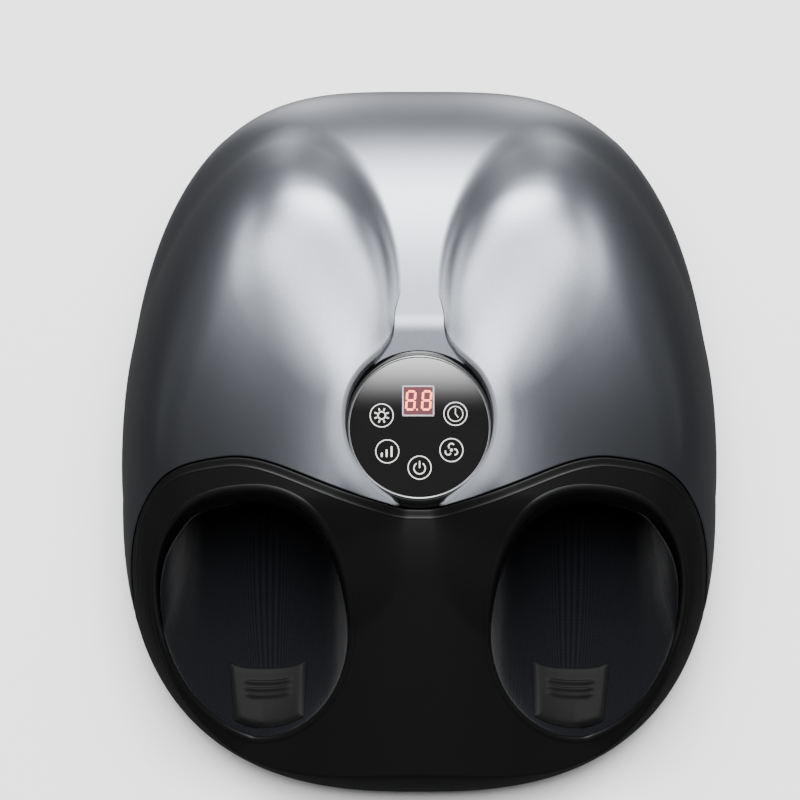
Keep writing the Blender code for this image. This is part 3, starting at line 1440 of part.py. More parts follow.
def strap_outline():
    """The strap from its end: half a ring with an ear at each side."""
    inner = MOTOR_RADIUS + GAP
    outer = inner + STRAP_THICKNESS
    ear = CRADLE_HALF_WIDTH
    low = GAP / 2.0
    high = low + STRAP_THICKNESS
    foot = math.sqrt(inner**2 - low**2)
    turns = [math.pi * step / STRAP_STEPS for step in range(1, STRAP_STEPS)]
    rise = math.asin(high / outer)
    plan = [(foot, low), *[(inner * math.cos(turn), inner * math.sin(turn)) for turn in turns], (-foot, low)]
    plan += [(-ear, low), (-ear, high)]
    for step in range(STRAP_STEPS + 1):
        turn = math.pi - rise - (math.pi - 2.0 * rise) * step / STRAP_STEPS
        plan.append((outer * math.cos(turn), outer * math.sin(turn)))
    return [*plan, (ear, high), (ear, low)]


def bevelled_box(name, size, slot, spot, width):
    """A box that stands on its spot, with rounded edges."""
    low = (-size[0] / 2.0, -size[1] / 2.0, 0.0)
    thing = place(name, mesh_from(name, *box(low, (size[0] / 2.0, size[1] / 2.0, size[2]))), slot, spot)
    bevel = thing.modifiers.new("Bevel", "BEVEL")
    bevel.width = width
    bevel.segments = BEVEL_SEGMENTS
    return thing


def make_air_supply():
    """The air pump, the valve block and a hose to each instep airbag."""
    ground = tray_top() + GAP
    pump = bevelled_box("air_pump", PUMP_SIZE, "grey_plastic", (0.0, PUMP_Y, ground), PUMP_BEVEL)
    top = PUMP_SIZE[2]
    heads = []
    for side in (1.0, -1.0):
        profile = [
            (0.0, top - PUMP_BEVEL),
            (PUMP_HEAD_RADIUS, top - PUMP_BEVEL),
            (PUMP_HEAD_RADIUS, top + PUMP_HEAD_HEIGHT - PUMP_BEVEL),
            (PUMP_HEAD_RADIUS - PUMP_BEVEL, top + PUMP_HEAD_HEIGHT),
            (0.0, top + PUMP_HEAD_HEIGHT),
        ]
        heads.append(turned(profile, MEDIUM_ROUND, (side * PUMP_HEAD_X, 0.0)))
    cut_with(pump, "UNION", heads)
    valve = bevelled_box("valve_block", VALVE_SIZE, "white_nylon", (0.0, VALVE_Y, ground), VALVE_BEVEL)
    high = VALVE_SIZE[2]
    nipples = []
    for side in (1.0, -1.0):
        spot = (side * NIPPLE_X, 0.0)
        nipples.append(rod(NIPPLE_RADIUS, high - VALVE_BEVEL, high + NIPPLE_HEIGHT, POST_ROUND, spot))
    cut_with(valve, "UNION", nipples)
    start = Vector((NIPPLE_X, VALVE_Y, ground + high + NIPPLE_HEIGHT + HOSE_END_GAP))
    end = SOLE @ (Vector(bag_nipple(BAG_END)) + Vector((0.0, BAG_NIPPLE_LENGTH + HOSE_END_GAP, 0.0)))
    for name, side in (("air_hose_right", 1.0), ("air_hose_left", -1.0)):
        make_hose(name, start, end, side)


def make_hose(name, start, end, side):
    """A hose that rises from its nipple and bends over the pocket to the bag."""
    up = Vector((0.0, 0.0, HOSE_RISE))
    back = (SOLE.to_3x3() @ Vector((0.0, 1.0, 0.0))) * HOSE_SWING
    middle = Vector((HOSE_MIDDLE_X, VALVE_Y + HOSE_SWING, HOSE_MIDDLE_Z))
    flow = Vector((HOSE_SWING, 0.0, HOSE_SWING / 2.0))
    points = []
    for first, out, into, last in ((start, up, flow, middle), (middle, flow, -back, end)):
        handles = (first, first + out, last - into, last)
        for index in range(HOSE_POINTS // 2 + (last is end)):
            t = index / (HOSE_POINTS // 2)
            weights = ((1 - t) ** 3, 3 * (1 - t) ** 2 * t, 3 * (1 - t) * t**2, t**3)
            points.append(sum((h * w for h, w in zip(handles, weights)), Vector((0.0, 0.0, 0.0))))
    curve = bpy.data.curves.new(name, "CURVE")
    curve.dimensions = "3D"
    curve.bevel_depth = HOSE_RADIUS
    curve.bevel_resolution = 1
    curve.use_fill_caps = True
    curve.materials.append(new_material("clear_hose"))
    spline = curve.splines.new("POLY")
    spline.points.add(len(points) - 1)
    for place_on, point in zip(spline.points, points):
        place_on.co = (side * point.x, point.y, point.z, 1.0)
    hose = bpy.data.objects.new(name, curve)
    bpy.context.scene.collection.objects.link(hose)


def make_main_board():
    """The board with the supply and the drivers, on the tray's standoffs."""
    level = tray_top() + STANDOFF_HEIGHT + GAP
    half_x, half_y, thick = MAIN_BOARD_SIZE[0] / 2.0, MAIN_BOARD_SIZE[1] / 2.0, MAIN_BOARD_SIZE[2]
    mesh = mesh_from("main_board", *box((-half_x, -half_y, 0.0), (half_x, half_y, thick)))
    place("main_board", mesh, "board", (0.0, BOARD_Y, level))


def make_side_pieces(right_frame, left_frame):
    """Every piece of the right side, and its mirror image under the left frame."""
    pieces = [
        make_gear_case(right_frame),
        make_worm(right_frame),
        make_bush("shaft_bush_inner_right", right_frame, -1.0),
        make_bush("shaft_bush_outer_right", right_frame, 1.0),
        make_sole_plate(right_frame),
        make_heater(right_frame),
        make_heel_rest(right_frame),
        make_bag(right_frame),
        make_arch(right_frame),
    ]
    for word, along in (("back", 1.0), ("front", -1.0)):
        pieces.append(make_wheel(f"worm_wheel_{word}_right", right_frame, along))
        pieces.append(make_head(f"kneading_head_{word}_right", right_frame, along))
        pieces.append(make_pin(f"wheel_pin_{word}_right", right_frame, along))
    liner = make_liner()
    bpy.context.view_layer.update()
    for piece in pieces:
        mirrored(piece, piece.name.replace("_right", "_left"), left_frame)
    mirrored(liner, "well_liner_left", None)


def centre_on_origin():
    """Moves everything so that the middle of the part's length stands over the origin."""
    for thing in bpy.data.objects:
        if thing.parent is None:
            thing.location.y -= (BACK_Y + FRONT_Y) / 2.0


def main():
    for thing in list(bpy.data.objects):
        bpy.data.objects.remove(thing)
    right_frame = sole_frame(1.0)
    left_frame = sole_frame(-1.0)
    make_top_shell()
    make_front_fascia()
    make_base_tray()
    make_feet()
    make_case_screws()
    make_control_stack()
    make_drive_shaft()
    make_motor()
    make_air_supply()
    make_main_board()
    make_power_inlet()
    make_side_pieces(right_frame, left_frame)
    centre_on_origin()


main()
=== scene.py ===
# %% [markdown]
# # A foot massager, dressed from one formula
#
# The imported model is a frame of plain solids. Here each solid gets its finish, and the surfaces
# that show most are computed again on fine grids from the same formula as the solids: the painted
# shell, the black fascia, the rims of the wells and the cloth pockets. Lengths are in metres, +Z is
# up, and the user sits at -Y.

import json
import math

import bpy
import numpy as np
from mathutils import Matrix, Vector

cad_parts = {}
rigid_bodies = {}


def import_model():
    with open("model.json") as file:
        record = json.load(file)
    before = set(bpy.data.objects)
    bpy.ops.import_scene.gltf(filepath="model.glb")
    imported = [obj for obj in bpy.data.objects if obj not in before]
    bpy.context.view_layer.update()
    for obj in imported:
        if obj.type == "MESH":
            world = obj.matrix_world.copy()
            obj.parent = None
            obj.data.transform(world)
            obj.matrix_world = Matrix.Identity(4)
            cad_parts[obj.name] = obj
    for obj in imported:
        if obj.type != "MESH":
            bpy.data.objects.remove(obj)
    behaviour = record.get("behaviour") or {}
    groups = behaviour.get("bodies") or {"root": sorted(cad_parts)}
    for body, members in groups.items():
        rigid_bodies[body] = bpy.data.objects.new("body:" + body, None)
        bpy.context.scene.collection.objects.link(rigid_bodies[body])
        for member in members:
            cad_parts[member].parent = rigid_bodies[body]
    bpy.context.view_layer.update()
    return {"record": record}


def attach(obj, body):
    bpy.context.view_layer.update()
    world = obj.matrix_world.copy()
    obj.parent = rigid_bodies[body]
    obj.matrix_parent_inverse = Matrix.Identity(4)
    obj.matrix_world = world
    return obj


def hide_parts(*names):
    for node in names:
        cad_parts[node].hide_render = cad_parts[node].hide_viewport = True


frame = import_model()
HOUSING = "housing"

# %% [markdown]
# ## Sums and products of sockets
#
# A material is easier to read as arithmetic. A `Wire` wraps one socket of a node tree, and its
# operators add Math nodes. `Material.node` makes any other node.


# %% Wires and materials
class Wire:
    """An output socket, on which +, -, * and / add Math nodes."""

    def __init__(self, tree, socket):
        self.tree = tree
        self.socket = socket

    def math(self, operation, other=0.0, third=0.0):
        """A Math node of this wire and up to two more values."""
        node = self.tree.nodes.new("ShaderNodeMath")
        node.operation = operation
        for place, value in zip(node.inputs, (self, other, third)):
            connect(self.tree, place, value)
        return Wire(self.tree, node.outputs[0])

    def __add__(self, other):
        return self.math("ADD", other)

    def __sub__(self, other):
        return self.math("SUBTRACT", other)

    def __mul__(self, other):
        return self.math("MULTIPLY", other)

    def __rsub__(self, other):
        return self.math("MULTIPLY_ADD", -1.0, other)

    def __truediv__(self, other):
        return self.math("DIVIDE", other)


def connect(tree, place, value):
    """Links a wire to an input socket, or sets the socket's own value."""
    if isinstance(value, Wire):
        tree.links.new(value.socket, place)
    else:
        place.default_value = value


class Tree:
    """A node tree whose nodes are made by one method."""

    def node(self, kind, output=0, settings=None, **inputs):
        """Any node: its settings are attributes, and its inputs are sockets by name or number."""
        node = self.tree.nodes.new("ShaderNode" + kind)
        for name, value in (settings or {}).items():
            setattr(node, name, value)
        for name, value in inputs.items():
            socket = int(name[1:]) if name[0] == "_" else name.replace("_", " ").title()
            connect(self.tree, node.inputs[socket], value)
        return Wire(self.tree, node.outputs[output])

    def ease(self, value, low, high):
        """A smooth step from 0 at low to 1 at high."""
        smooth = {"interpolation_type": "SMOOTHSTEP"}
        return self.node("MapRange", settings=smooth, Value=value, _1=low, _2=high, _3=0.0, _4=1.0)

    def ramp(self, factor, low, high):
        """A mix of two colours by a factor."""
        colours = {"data_type": "RGBA"}
        return self.node("Mix", output=2, settings=colours, _0=factor, _6=low, _7=high)


class Material(Tree):
    """A Principled material whose other sockets are set by name."""

    def __init__(self, name, **sockets):
        self.data = bpy.data.materials.new(name)
        self.data.use_nodes = True
        self.tree = self.data.node_tree
        self.shader = self.tree.nodes["Principled BSDF"]
        self.set(**sockets)

    def set(self, **sockets):
        """Sets or links the shader's sockets; base_color stands for Base Color, and so on."""
        for name, value in sockets.items():
            title = name.replace("_", " ").title().replace("Ior", "IOR")
            connect(self.tree, self.shader.inputs[title], value)

    def place(self):
        """Object coordinates, which stay with the piece when it moves."""
        return self.node("TexCoord", output=3)

    def noise(self, scale, detail=2.0):
        """Cloudy noise, scaled per metre."""
        return self.node("TexNoise", Vector=self.place(), Scale=scale, Detail=detail)

    def bump(self, height, distance, strength=1.0, below=None):
        """A normal from a height field; distance is its depth in metres."""
        more = {"Normal": below} if below else {}
        return self.node("Bump", Height=height, Distance=distance, Strength=strength, **more)


def grey(value, blue=1.0):
    """A neutral colour, a little bluer where asked."""
    return (value, value, value * blue, 1.0)


def shade(colour, share):
    """A darker copy of a colour."""
    return tuple(c * share for c in colour[:3]) + (1.0,)


# %% [markdown]
# ## Finishes
#
# Each finish has the small variation that the real surface shows: flake in the paint, spark
# erosion on moulded plastic, ribs on the knit and a faint swirl on polished parts. The paint takes
# one liberty. Fully metallic, the wall round the panel would mirror only the dark recess, so it is
# less metallic there, by its distance from the panel's middle and its height over the panel.

# %% The paint
DIAL_MIDDLE = -0.0415  # the panel's middle, in the frame's Y
PANEL_SLOPE, PANEL_HEIGHT = 0.3057, 0.1687  # its plane: z = y * slope + height
WALL_INNER, WALL_OUTER = 0.0492, 0.0610
WALL_LOW, WALL_HIGH = 0.0010, 0.0040
WALL_LOSS = 0.42


def painted_silver():
    """Metallic paint: fine flakes under a thin satin coat, less metallic on the panel's wall."""
    m = Material("silver_paint", coat_weight=0.10, coat_roughness=0.12)
    x, y, z = (m.node("SeparateXYZ", output=axis, Vector=m.place()) for axis in range(3))
    along = y - DIAL_MIDDLE
    distance = (x * x + along * along).math("POWER", 0.5)
    around = 1.0 - m.ease(distance, WALL_INNER, WALL_OUTER)
    raised = m.ease(z - (y * PANEL_SLOPE + PANEL_HEIGHT), WALL_LOW, WALL_HIGH)
    m.set(metallic=around * raised * -WALL_LOSS + 1.0)
    flake = m.node("TexVoronoi", output=1, Vector=m.place(), Scale=2600.0)
    spark = m.node("SeparateColor", Color=flake)
    cloud = m.noise(9.0)
    dark, light = (0.285, 0.30, 0.33, 1.0), (0.37, 0.385, 0.42, 1.0)
    m.set(base_color=m.ramp(spark * 0.5 + cloud * 0.5, dark, light))
    m.set(roughness=cloud * 0.04 + 0.20)
    m.set(normal=m.bump(spark, 0.000004, 0.20))
    return m.data


# %% The other finishes
def moulded(name, colour, roughness, grain, depth, **sockets):
    """Moulded plastic: an even colour, with the fine grain that spark erosion leaves."""
    m = Material(name, **sockets)
    cloud = m.noise(35.0, 3.0)
    fine = m.noise(grain, 3.0)
    m.set(base_color=m.ramp(cloud, shade(colour, 0.86), colour))
    m.set(roughness=fine * 0.10 + (roughness - 0.05))
    m.set(normal=m.bump(fine, depth))
    return m.data


def polished(name, colour, roughness, metallic=0.0):
    """A polished part: faint wipe marks show only in its gloss."""
    m = Material(name, metallic=metallic, coat_weight=0.0 if metallic else 0.5, coat_roughness=0.04)
    wipe = m.noise(60.0, 4.0)
    m.set(base_color=m.ramp(wipe, shade(colour, 0.94), colour))
    m.set(roughness=wipe * 0.05 + roughness, normal=m.bump(wipe, 0.00002, 0.2))
    return m.data


def brushed(name, colour, roughness, scale):
    """Turned or ground metal: fine marks all over, in its gloss and its normal."""
    m = Material(name, metallic=1.0)
    marks = m.noise(scale)
    m.set(base_color=m.ramp(marks, shade(colour, 0.8), colour))
    m.set(roughness=marks * 0.15 + roughness, normal=m.bump(marks, 0.00001, 0.3))
    return m.data


RIB_PITCH, STITCH_PITCH = 0.0017, 0.0012


def knitted():
    """Black knit: ribs run down the pocket and stitches cross them, both from its own UV map."""
    m = Material("knit", sheen_weight=0.06, sheen_roughness=0.4, specular_ior_level=0.2)
    cloth = m.node("UVMap", settings={"uv_map": "cloth"})
    across, along = (m.node("SeparateXYZ", output=axis, Vector=cloth) for axis in range(2))
    ribs = (across * (2.0 * math.pi / RIB_PITCH)).math("SINE") * 0.5 + 0.5
    stitch = (along * (2.0 * math.pi / STITCH_PITCH) + ribs * 2.2).math("SINE") * 0.5 + 0.5
    fuzz = m.noise(700.0, 3.0)
    knit = ribs * 0.62 + stitch * 0.26 + fuzz * 0.12
    m.set(base_color=m.ramp(knit, (0.0010, 0.0011, 0.0015, 1.0), (0.0055, 0.0060, 0.0078, 1.0)))
    hills = m.bump(m.noise(70.0), 0.0012, 0.5)
    m.set(roughness=fuzz * 0.1 + 0.84, normal=m.bump(knit, 0.00035, 0.9, hills))
    return m.data


def panel_with_painted_sheen():
    """The panel's black print under a clear gloss, with a painted sheen: grey towards the back
    edge.
    """
    m = Material("panel_black_painted_sheen", roughness=0.08, specular_ior_level=0.14)
    along = m.node("SeparateXYZ", output=1, Vector=m.place())
    wipe = m.noise(60.0, 4.0)
    # The grey towards the back edge is a painted sheen, not part of the print.
    painted_sheen = m.ease(along, DIAL_MIDDLE + 0.004, DIAL_MIDDLE + 0.044)
    m.set(base_color=m.ramp(painted_sheen * painted_sheen + wipe * 0.004, grey(0.003), grey(0.38)))
    m.set(normal=m.bump(wipe, 0.00002, 0.2))
    return m.data


def glowing(name, colour, strength):
    """A mark that gives off light: a lit one, or a printed one with a faint painted glow, a little
    uneven as ink is.
    """
    m = Material(name, roughness=0.35)
    grain = m.noise(900.0)
    m.set(base_color=m.ramp(grain, shade(colour, 0.85), colour))
    m.set(emission_color=m.ramp(grain, shade(colour, 0.9), colour))
    m.shader.inputs["Emission Strength"].default_value = strength
    return m.data


def board_green():
    """A circuit board: solder mask over a grid of tracks."""
    m = Material("board", roughness=0.4)
    tracks = m.node("TexBrick", output=1, Vector=m.place(), Scale=220.0)
    m.set(base_color=m.ramp(tracks, (0.012, 0.075, 0.03, 1.0), (0.03, 0.16, 0.07, 1.0)))
    m.set(normal=m.bump(tracks, 0.00004))
    return m.data


# %% [markdown]
# Each CAD node names its finish in the record. Only the heel plates differ from their slot.

# %% Give the nodes their finishes
SATIN, MATTE, HEEL_SHINE = ({"specular_ior_level": level} for level in (0.30, 0.25, 0.12))
FINISH = {
    "silver_paint": painted_silver(),
    "black_satin": moulded("black_satin", grey(0.003), 0.34, 1500.0, 0.000012, **SATIN),
    "black_matte": moulded("black_matte", grey(0.004), 0.50, 900.0, 0.00003, **MATTE),
    "black_gloss": polished("black_gloss", grey(0.003), 0.16),
    "chrome": polished("chrome", grey(0.55, 1.01), 0.14, 1.0),
    "glass": panel_with_painted_sheen(),
    "display": moulded("display_block", (0.05, 0.012, 0.012, 1.0), 0.30, 900.0, 0.00001),
    "board": board_green(),
    "rubber": moulded("foot_rubber", grey(0.014), 0.85, 700.0, 0.00006),
    "fabric": knitted(),
    "steel": brushed("ground_steel", (0.55, 0.56, 0.58, 1.0), 0.22, 900.0),
    "zinc": brushed("zinc_plate", (0.44, 0.45, 0.46, 1.0), 0.34, 300.0),
    "white_nylon": moulded("white_acetal", (0.80, 0.79, 0.75, 1.0), 0.42, 600.0, 0.00001),
    "grey_plastic": moulded("grey_abs", grey(0.030, 1.08), 0.42, 1100.0, 0.00003),
    "bladder": moulded("bladder_film", (0.09, 0.10, 0.12, 1.0), 0.42, 250.0, 0.00005),
    "felt": moulded("heater_felt", (0.10, 0.09, 0.085, 1.0), 0.95, 1200.0, 0.00025),
    "clear_hose": polished("silicone", (0.55, 0.57, 0.58, 1.0), 0.25),
    "brass": brushed("cut_brass", (0.60, 0.44, 0.18, 1.0), 0.25, 700.0),
}
HEEL = moulded("heel_plate", grey(0.006), 0.46, 1100.0, 0.00003, **HEEL_SHINE)
for entry in frame["record"]["subparts"]:
    node = bpy.data.objects[entry["node"]]
    finish = HEEL if entry["node"].startswith("heel_rest") else FINISH[entry["material_slot"]]
    for slot in node.material_slots:
        slot.material = finish
    if not node.material_slots:
        node.data.materials.append(finish)
print("finishes:", len(FINISH))

# %% [markdown]
# ## The skin
#
# One height over the plan gives every outer surface. The dome fills the outline, two pods stand on
# it, a sloping console cuts a cove between them, and a deck and two flanks lead to the front. A
# smooth least or greatest joins each pair: within a blend b of each other, the lesser of f and g
# drops by (b - |f - g|)^2 / 4b.

# %% Smooth joins, and the outline
HALF_WIDTH, BACK_Y, FRONT_Y, WIDEST_Y = 0.195, 0.250, -0.230, -0.018
SKIRT_Z = 0.024  # the shells' lower edge
BACK_NARROWING = 0.163
BACK_POWER, FRONT_POWER = 3.6, 2.6


def soft_min(f, g, blend):
    """The lesser of two heights, rounded where they are close."""
    near = np.maximum(blend - np.abs(f - g), 0.0) / blend
    return np.minimum(f, g) - near * near * blend / 4.0


def soft_max(f, g, blend):
    """The greater of two heights, with a fillet where they are close."""
    return -soft_min(-f, -g, blend)


def smooth_share(share):
    """A share from 0 to 1 that starts and ends gently: 3s^2 - 2s^3."""
    share = np.clip(share, 0.0, 1.0)
    return share * share * (3.0 - 2.0 * share)


def back_taper(y):
    """The outline's width towards the back, as a share of its greatest."""
    return 1.0 - BACK_NARROWING * np.clip((y - WIDEST_Y) / (BACK_Y - WIDEST_Y), 0.0, 1.0) ** 2


def outline_arcs(behind):
    """The superellipse's power and half length, behind the widest line and before it."""
    power = np.where(behind, BACK_POWER, FRONT_POWER)
    return power, np.where(behind, BACK_Y - WIDEST_Y, WIDEST_Y - FRONT_Y)


def outline_reach(x, y):
    """A point's distance from the middle as a share of the outline's: 1 on the outline."""
    power, length = outline_arcs(y > WIDEST_Y)
    across, along = np.abs(x) / (HALF_WIDTH * back_taper(y)), np.abs(y - WIDEST_Y) / length
    return (across**power + along**power) ** (1.0 / power)


# %% The dome, the pods and the console
DOME_HEIGHT, DOME_POWER = 0.1524, 2.45
POD_X, POD_Y, POD_HEIGHT = 0.0859, 0.0118, 0.180
POD_LEAN, POD_BEND = 0.0402, 0.219
POD_INNER, POD_OUTER, POD_BACK, POD_FRONT = 0.1500, 0.1122, 0.2294, 0.1776
POD_PLAN_POWER, POD_POWER = 2.09, 1.81


def crown(reach, power):
    """A rounded height share: (1 - r^p)^(1/p), which is 1 in the middle and 0 at the rim."""
    return np.maximum(1.0 - reach**power, 0.0) ** (1.0 / power)


def dome(x, y):
    """A dome that fills the outline."""
    return SKIRT_Z + DOME_HEIGHT * crown(np.minimum(outline_reach(x, y), 1.0), DOME_POWER)


def pods(x, y):
    """Two pods that lean together at the back: quarter eggs, each with a crest on a bent line."""
    along = y - POD_Y
    across = np.abs(x) - POD_X + POD_LEAN * along + POD_BEND * along * along
    a = np.abs(across) / np.where(across < 0.0, POD_INNER, POD_OUTER)
    b = np.abs(along) / np.where(along > 0.0, POD_BACK, POD_FRONT)
    reach = (a**POD_PLAN_POWER + b**POD_PLAN_POWER) ** (1.0 / POD_PLAN_POWER)
    return SKIRT_Z + POD_HEIGHT * crown(np.minimum(reach, 1.0), POD_POWER)


CONSOLE_TILT = math.radians(17.0)
RIDGE_Y = 0.032
RIDGE_Z = float(dome(np.float64(0.0), np.float64(RIDGE_Y)))


def console(y):
    """The sloping plane that carries the panel."""
    return RIDGE_Z - math.tan(CONSOLE_TILT) * (RIDGE_Y - y)


DIAL_Y = -0.0315
KEYHOLE_WIDE, KEYHOLE_NARROW, KEYHOLE_LENGTH = 0.0487, 0.0150, 0.0465


def keyhole(x, y):
    """Distance outside a keyhole: a wide circle, a narrow one and their tangents."""
    lean = (KEYHOLE_WIDE - KEYHOLE_NARROW) / KEYHOLE_LENGTH
    straight = math.sqrt(1.0 - lean * lean)
    side, along = np.abs(x), y - DIAL_Y
    station = straight * along - lean * side
    first = np.hypot(side, along) - KEYHOLE_WIDE
    second = np.hypot(side, along - KEYHOLE_LENGTH) - KEYHOLE_NARROW
    tangent = straight * side + lean * along - KEYHOLE_WIDE
    beyond = np.where(station > straight * KEYHOLE_LENGTH, second, tangent)
    return np.where(station < 0.0, first, beyond)


# %% The front, and the whole skin
STEEP, GENTLE, DECK_TILT = (math.tan(math.radians(angle)) for angle in (42.0, 22.94, 31.0))
POD_BLEND, FLANK_BLEND, SEAM_BLEND = 0.020, 0.008, 0.003


def front_slope(x, y):
    """The pods' front: steep below the mouth line, and gentler and crowned above it."""
    steep = 0.028 + 0.0135 * np.exp(-((x / 0.065) ** 2)) + STEEP * (y + 0.212)
    back = y + 0.078
    gentle = 0.1592 + GENTLE * back - 1.51 * x * x - 1.234 * back**2
    return soft_min(steep, gentle, SEAM_BLEND)


def ground(x, y):
    """What lies between the pods: the dome, the console and the deck."""
    deck = 0.058 + DECK_TILT * (y - FRONT_Y - 0.006) - x * x / 0.300
    return soft_min(soft_min(dome(x, y), console(y), 0.0022), deck, FLANK_BLEND)


def skin(x, y):
    """Height of the outer skin over a point of the plan, with the keyhole's recess filled. The
    fillet between pods and ground grows from the panel to the front, and a wall that is nearly
    upright closes the skin at the outline."""
    slope = front_slope(x, y)
    both = soft_min(pods(x, y), slope, POD_BLEND)
    blend = 0.0036 + 0.0264 * smooth_share((-0.070 - y) / 0.070)
    flank = soft_min(dome(x, y), slope - 0.003, FLANK_BLEND)
    flank = soft_min(flank, SKIRT_Z + 1.6 * (np.abs(x) - 0.095), FLANK_BLEND)
    whole = soft_max(soft_max(ground(x, y), both, blend), flank, SEAM_BLEND)
    reach = np.minimum(outline_reach(x, y), 1.0)
    wall = SKIRT_Z + 0.160 * (1.0 - reach**8) ** (1.0 / 2.4)
    return soft_min(whole, wall, 0.0004 + 0.0100 * np.minimum((1.0 - reach) * 40.0, 1.0))


# %% Normals, and the plan's grid
def skin_normal(x, y, height=skin, step=0.0004):
    """The upward normal of a height, from its differences."""
    across = (height(x + step, y) - height(x - step, y)) / (2.0 * step)
    along = (height(x, y + step) - height(x, y - step)) / (2.0 * step)
    normal = np.stack([-across, -along, np.ones_like(across)], -1)
    return normal / np.linalg.norm(normal, axis=-1, keepdims=True)


def plan_grid(spokes=480, rings=170):
    """Plan points on spokes from the panel to the outline, closer together towards the edge."""
    turn = np.arange(spokes) * 2.0 * math.pi / spokes
    turn = turn + 0.22 * np.sin(2.0 * turn)
    c, s = np.cos(turn), np.sin(turn)
    power, length = outline_arcs(s > 0.0)
    reach = (np.abs(c) / HALF_WIDTH) ** power + (np.abs(s) / length) ** power
    radius = reach ** (-1.0 / power)
    share = 1.0 - (1.0 - np.linspace(0.01, 1.0, rings)) ** 1.7
    y = WIDEST_Y + np.outer(share, radius * s)
    return np.outer(share, radius * c) * back_taper(y), y


grid_x, grid_y = plan_grid()
grid_z = skin(grid_x, grid_y)
print("skin:", grid_x.shape, "highest", round(float(grid_z.max()), 4))

# %% [markdown]
# ## Cutting a surface along a line
#
# A line in the plan is stated as a signed distance, and a surface is cut where it is zero. A
# triangle that the line crosses is split, and its new corners lie on its edges in proportion to
# the distances. A lip then turns the cut edge over by a quarter round, as a moulded part has.


# %% Meshes from grids, cuts and lips
def grid_faces(rows, columns, closed=True):
    """Quads between the rows of a grid whose columns close into a ring."""
    r = np.arange(rows - 1)[:, None]
    c = np.arange(columns if closed else columns - 1)[None, :]
    after = (c + 1) % columns
    quads = [r * columns + c, (r + 1) * columns + c, (r + 1) * columns + after, r * columns + after]
    return np.stack([np.broadcast_to(q, (rows - 1, c.size)) for q in quads], -1).reshape(-1, 4)


def split(quads):
    """Two triangles for each quad."""
    return np.concatenate([quads[:, [0, 1, 2]], quads[:, [0, 2, 3]]])


def vertex_normals(points, triangles):
    """Area-weighted normals."""
    a, b, c = (points[triangles[:, k]] for k in range(3))
    face = np.cross(b - a, c - a)
    total = np.zeros_like(points)
    for k in range(3):
        np.add.at(total, triangles[:, k], face)
    return total / np.maximum(np.linalg.norm(total, axis=1, keepdims=True), 1e-12)


def cut(points, normals, triangles, distance):
    """Keeps what lies at a positive distance. Returns the mesh, and the cut's directed edges."""
    value = distance(points[:, 0], points[:, 1])
    value = np.where(np.abs(value) < 1e-7, 1e-7, value)
    inside = value > 0.0
    count = inside[triangles].sum(1)
    kept = [triangles[count == 3]]
    made_points, made_normals, edges = [points], [normals], []
    start = len(points)
    for amount in (1, 2):
        some = triangles[count == amount]
        odd = inside[some] if amount == 1 else ~inside[some]
        first = np.argmax(odd, axis=1)
        a, b, c = (some[np.arange(len(some)), (first + k) % 3] for k in range(3))
        pairs = []
        for other in (b, c):
            low, high = np.minimum(a, other), np.maximum(a, other)
            pairs.append(low.astype(np.int64) * start + high)
        codes, back = np.unique(np.concatenate(pairs), return_inverse=True)
        low, high = codes // start, codes % start
        share = (value[low] / (value[low] - value[high]))[:, None]
        offset = sum(len(group) for group in made_points)
        made_points.append(points[low] * (1.0 - share) + points[high] * share)
        made_normals.append(normals[low] * (1.0 - share) + normals[high] * share)
        ab, ac = offset + back[: len(a)], offset + back[len(a) :]
        if amount == 1:
            kept.append(np.stack([a, ab, ac], -1))
            edges.append(np.stack([ab, ac], -1))
        else:
            kept.append(np.stack([ab, b, c], -1))
            kept.append(np.stack([ab, c, ac], -1))
            edges.append(np.stack([ac, ab], -1))
    points, normals = np.concatenate(made_points), np.concatenate(made_normals)
    triangles, edges = np.concatenate(kept), np.concatenate(edges)
    # the two passes made the same corner twice where a one and a two meet, so merge equal ones
    key = np.round(points * 1e8).astype(np.int64)
    _, first, back = np.unique(key, axis=0, return_index=True, return_inverse=True)
    back = back.reshape(-1)
    points, normals = points[first], normals[first]
    triangles, edges = back[triangles], back[edges]
    whole = (triangles != np.roll(triangles, 1, axis=1)).all(axis=1)
    edges = edges[edges[:, 0] != edges[:, 1]]
    return points, normals / np.linalg.norm(normals, axis=1, keepdims=True), triangles[whole], edges


def lip(mesh, distance, radius, depth, steps=5):
    """Turns the cut edge over by a quarter round of a radius, then straight in by a depth. Both may
    be functions of the plan, and where the radius is nothing the edge stays as it is."""
    points, normals, triangles, edges = mesh
    rim, back = np.unique(edges, return_inverse=True)
    back = back.reshape(-1, 2)
    p, n = points[rim], normals[rim]
    round_by, deep_by = (
        (size(p[:, 0], p[:, 1]) if callable(size) else np.full(len(p), size))[:, None]
        for size in (radius, depth)
    )
    h = 0.0002
    slope_x = distance(p[:, 0] + h, p[:, 1]) - distance(p[:, 0] - h, p[:, 1])
    slope_y = distance(p[:, 0], p[:, 1] + h) - distance(p[:, 0], p[:, 1] - h)
    out = -np.stack([slope_x, slope_y, np.zeros(len(p))], -1)
    out -= n * (out * n).sum(1, keepdims=True)
    out /= np.linalg.norm(out, axis=1, keepdims=True)
    a, b = back[:, 0], back[:, 1]
    real = (round_by[a, 0] > 1e-5) | (round_by[b, 0] > 1e-5)
    a, b = a[real], b[real]
    all_points, all_normals, all_triangles = [points], [normals], [triangles]
    previous = rim
    for step in range(1, steps + 2):
        turn = math.pi / 2.0 * min(step / steps, 1.0)
        ring = sum(len(group) for group in all_points) + np.arange(len(rim))
        deep = np.array([0.0, 0.0, 1.0]) * deep_by if step > steps else 0.0
        c, s = math.cos(turn), math.sin(turn)
        all_points.append(p + out * round_by * s - n * round_by * (1.0 - c) - deep)
        all_normals.append(n * c + out * s)
        quads = np.stack([previous[b], previous[a], ring[a], ring[b]], -1)
        all_triangles.append(split(quads))
        previous = ring
    return np.concatenate(all_points), np.concatenate(all_normals), np.concatenate(all_triangles)


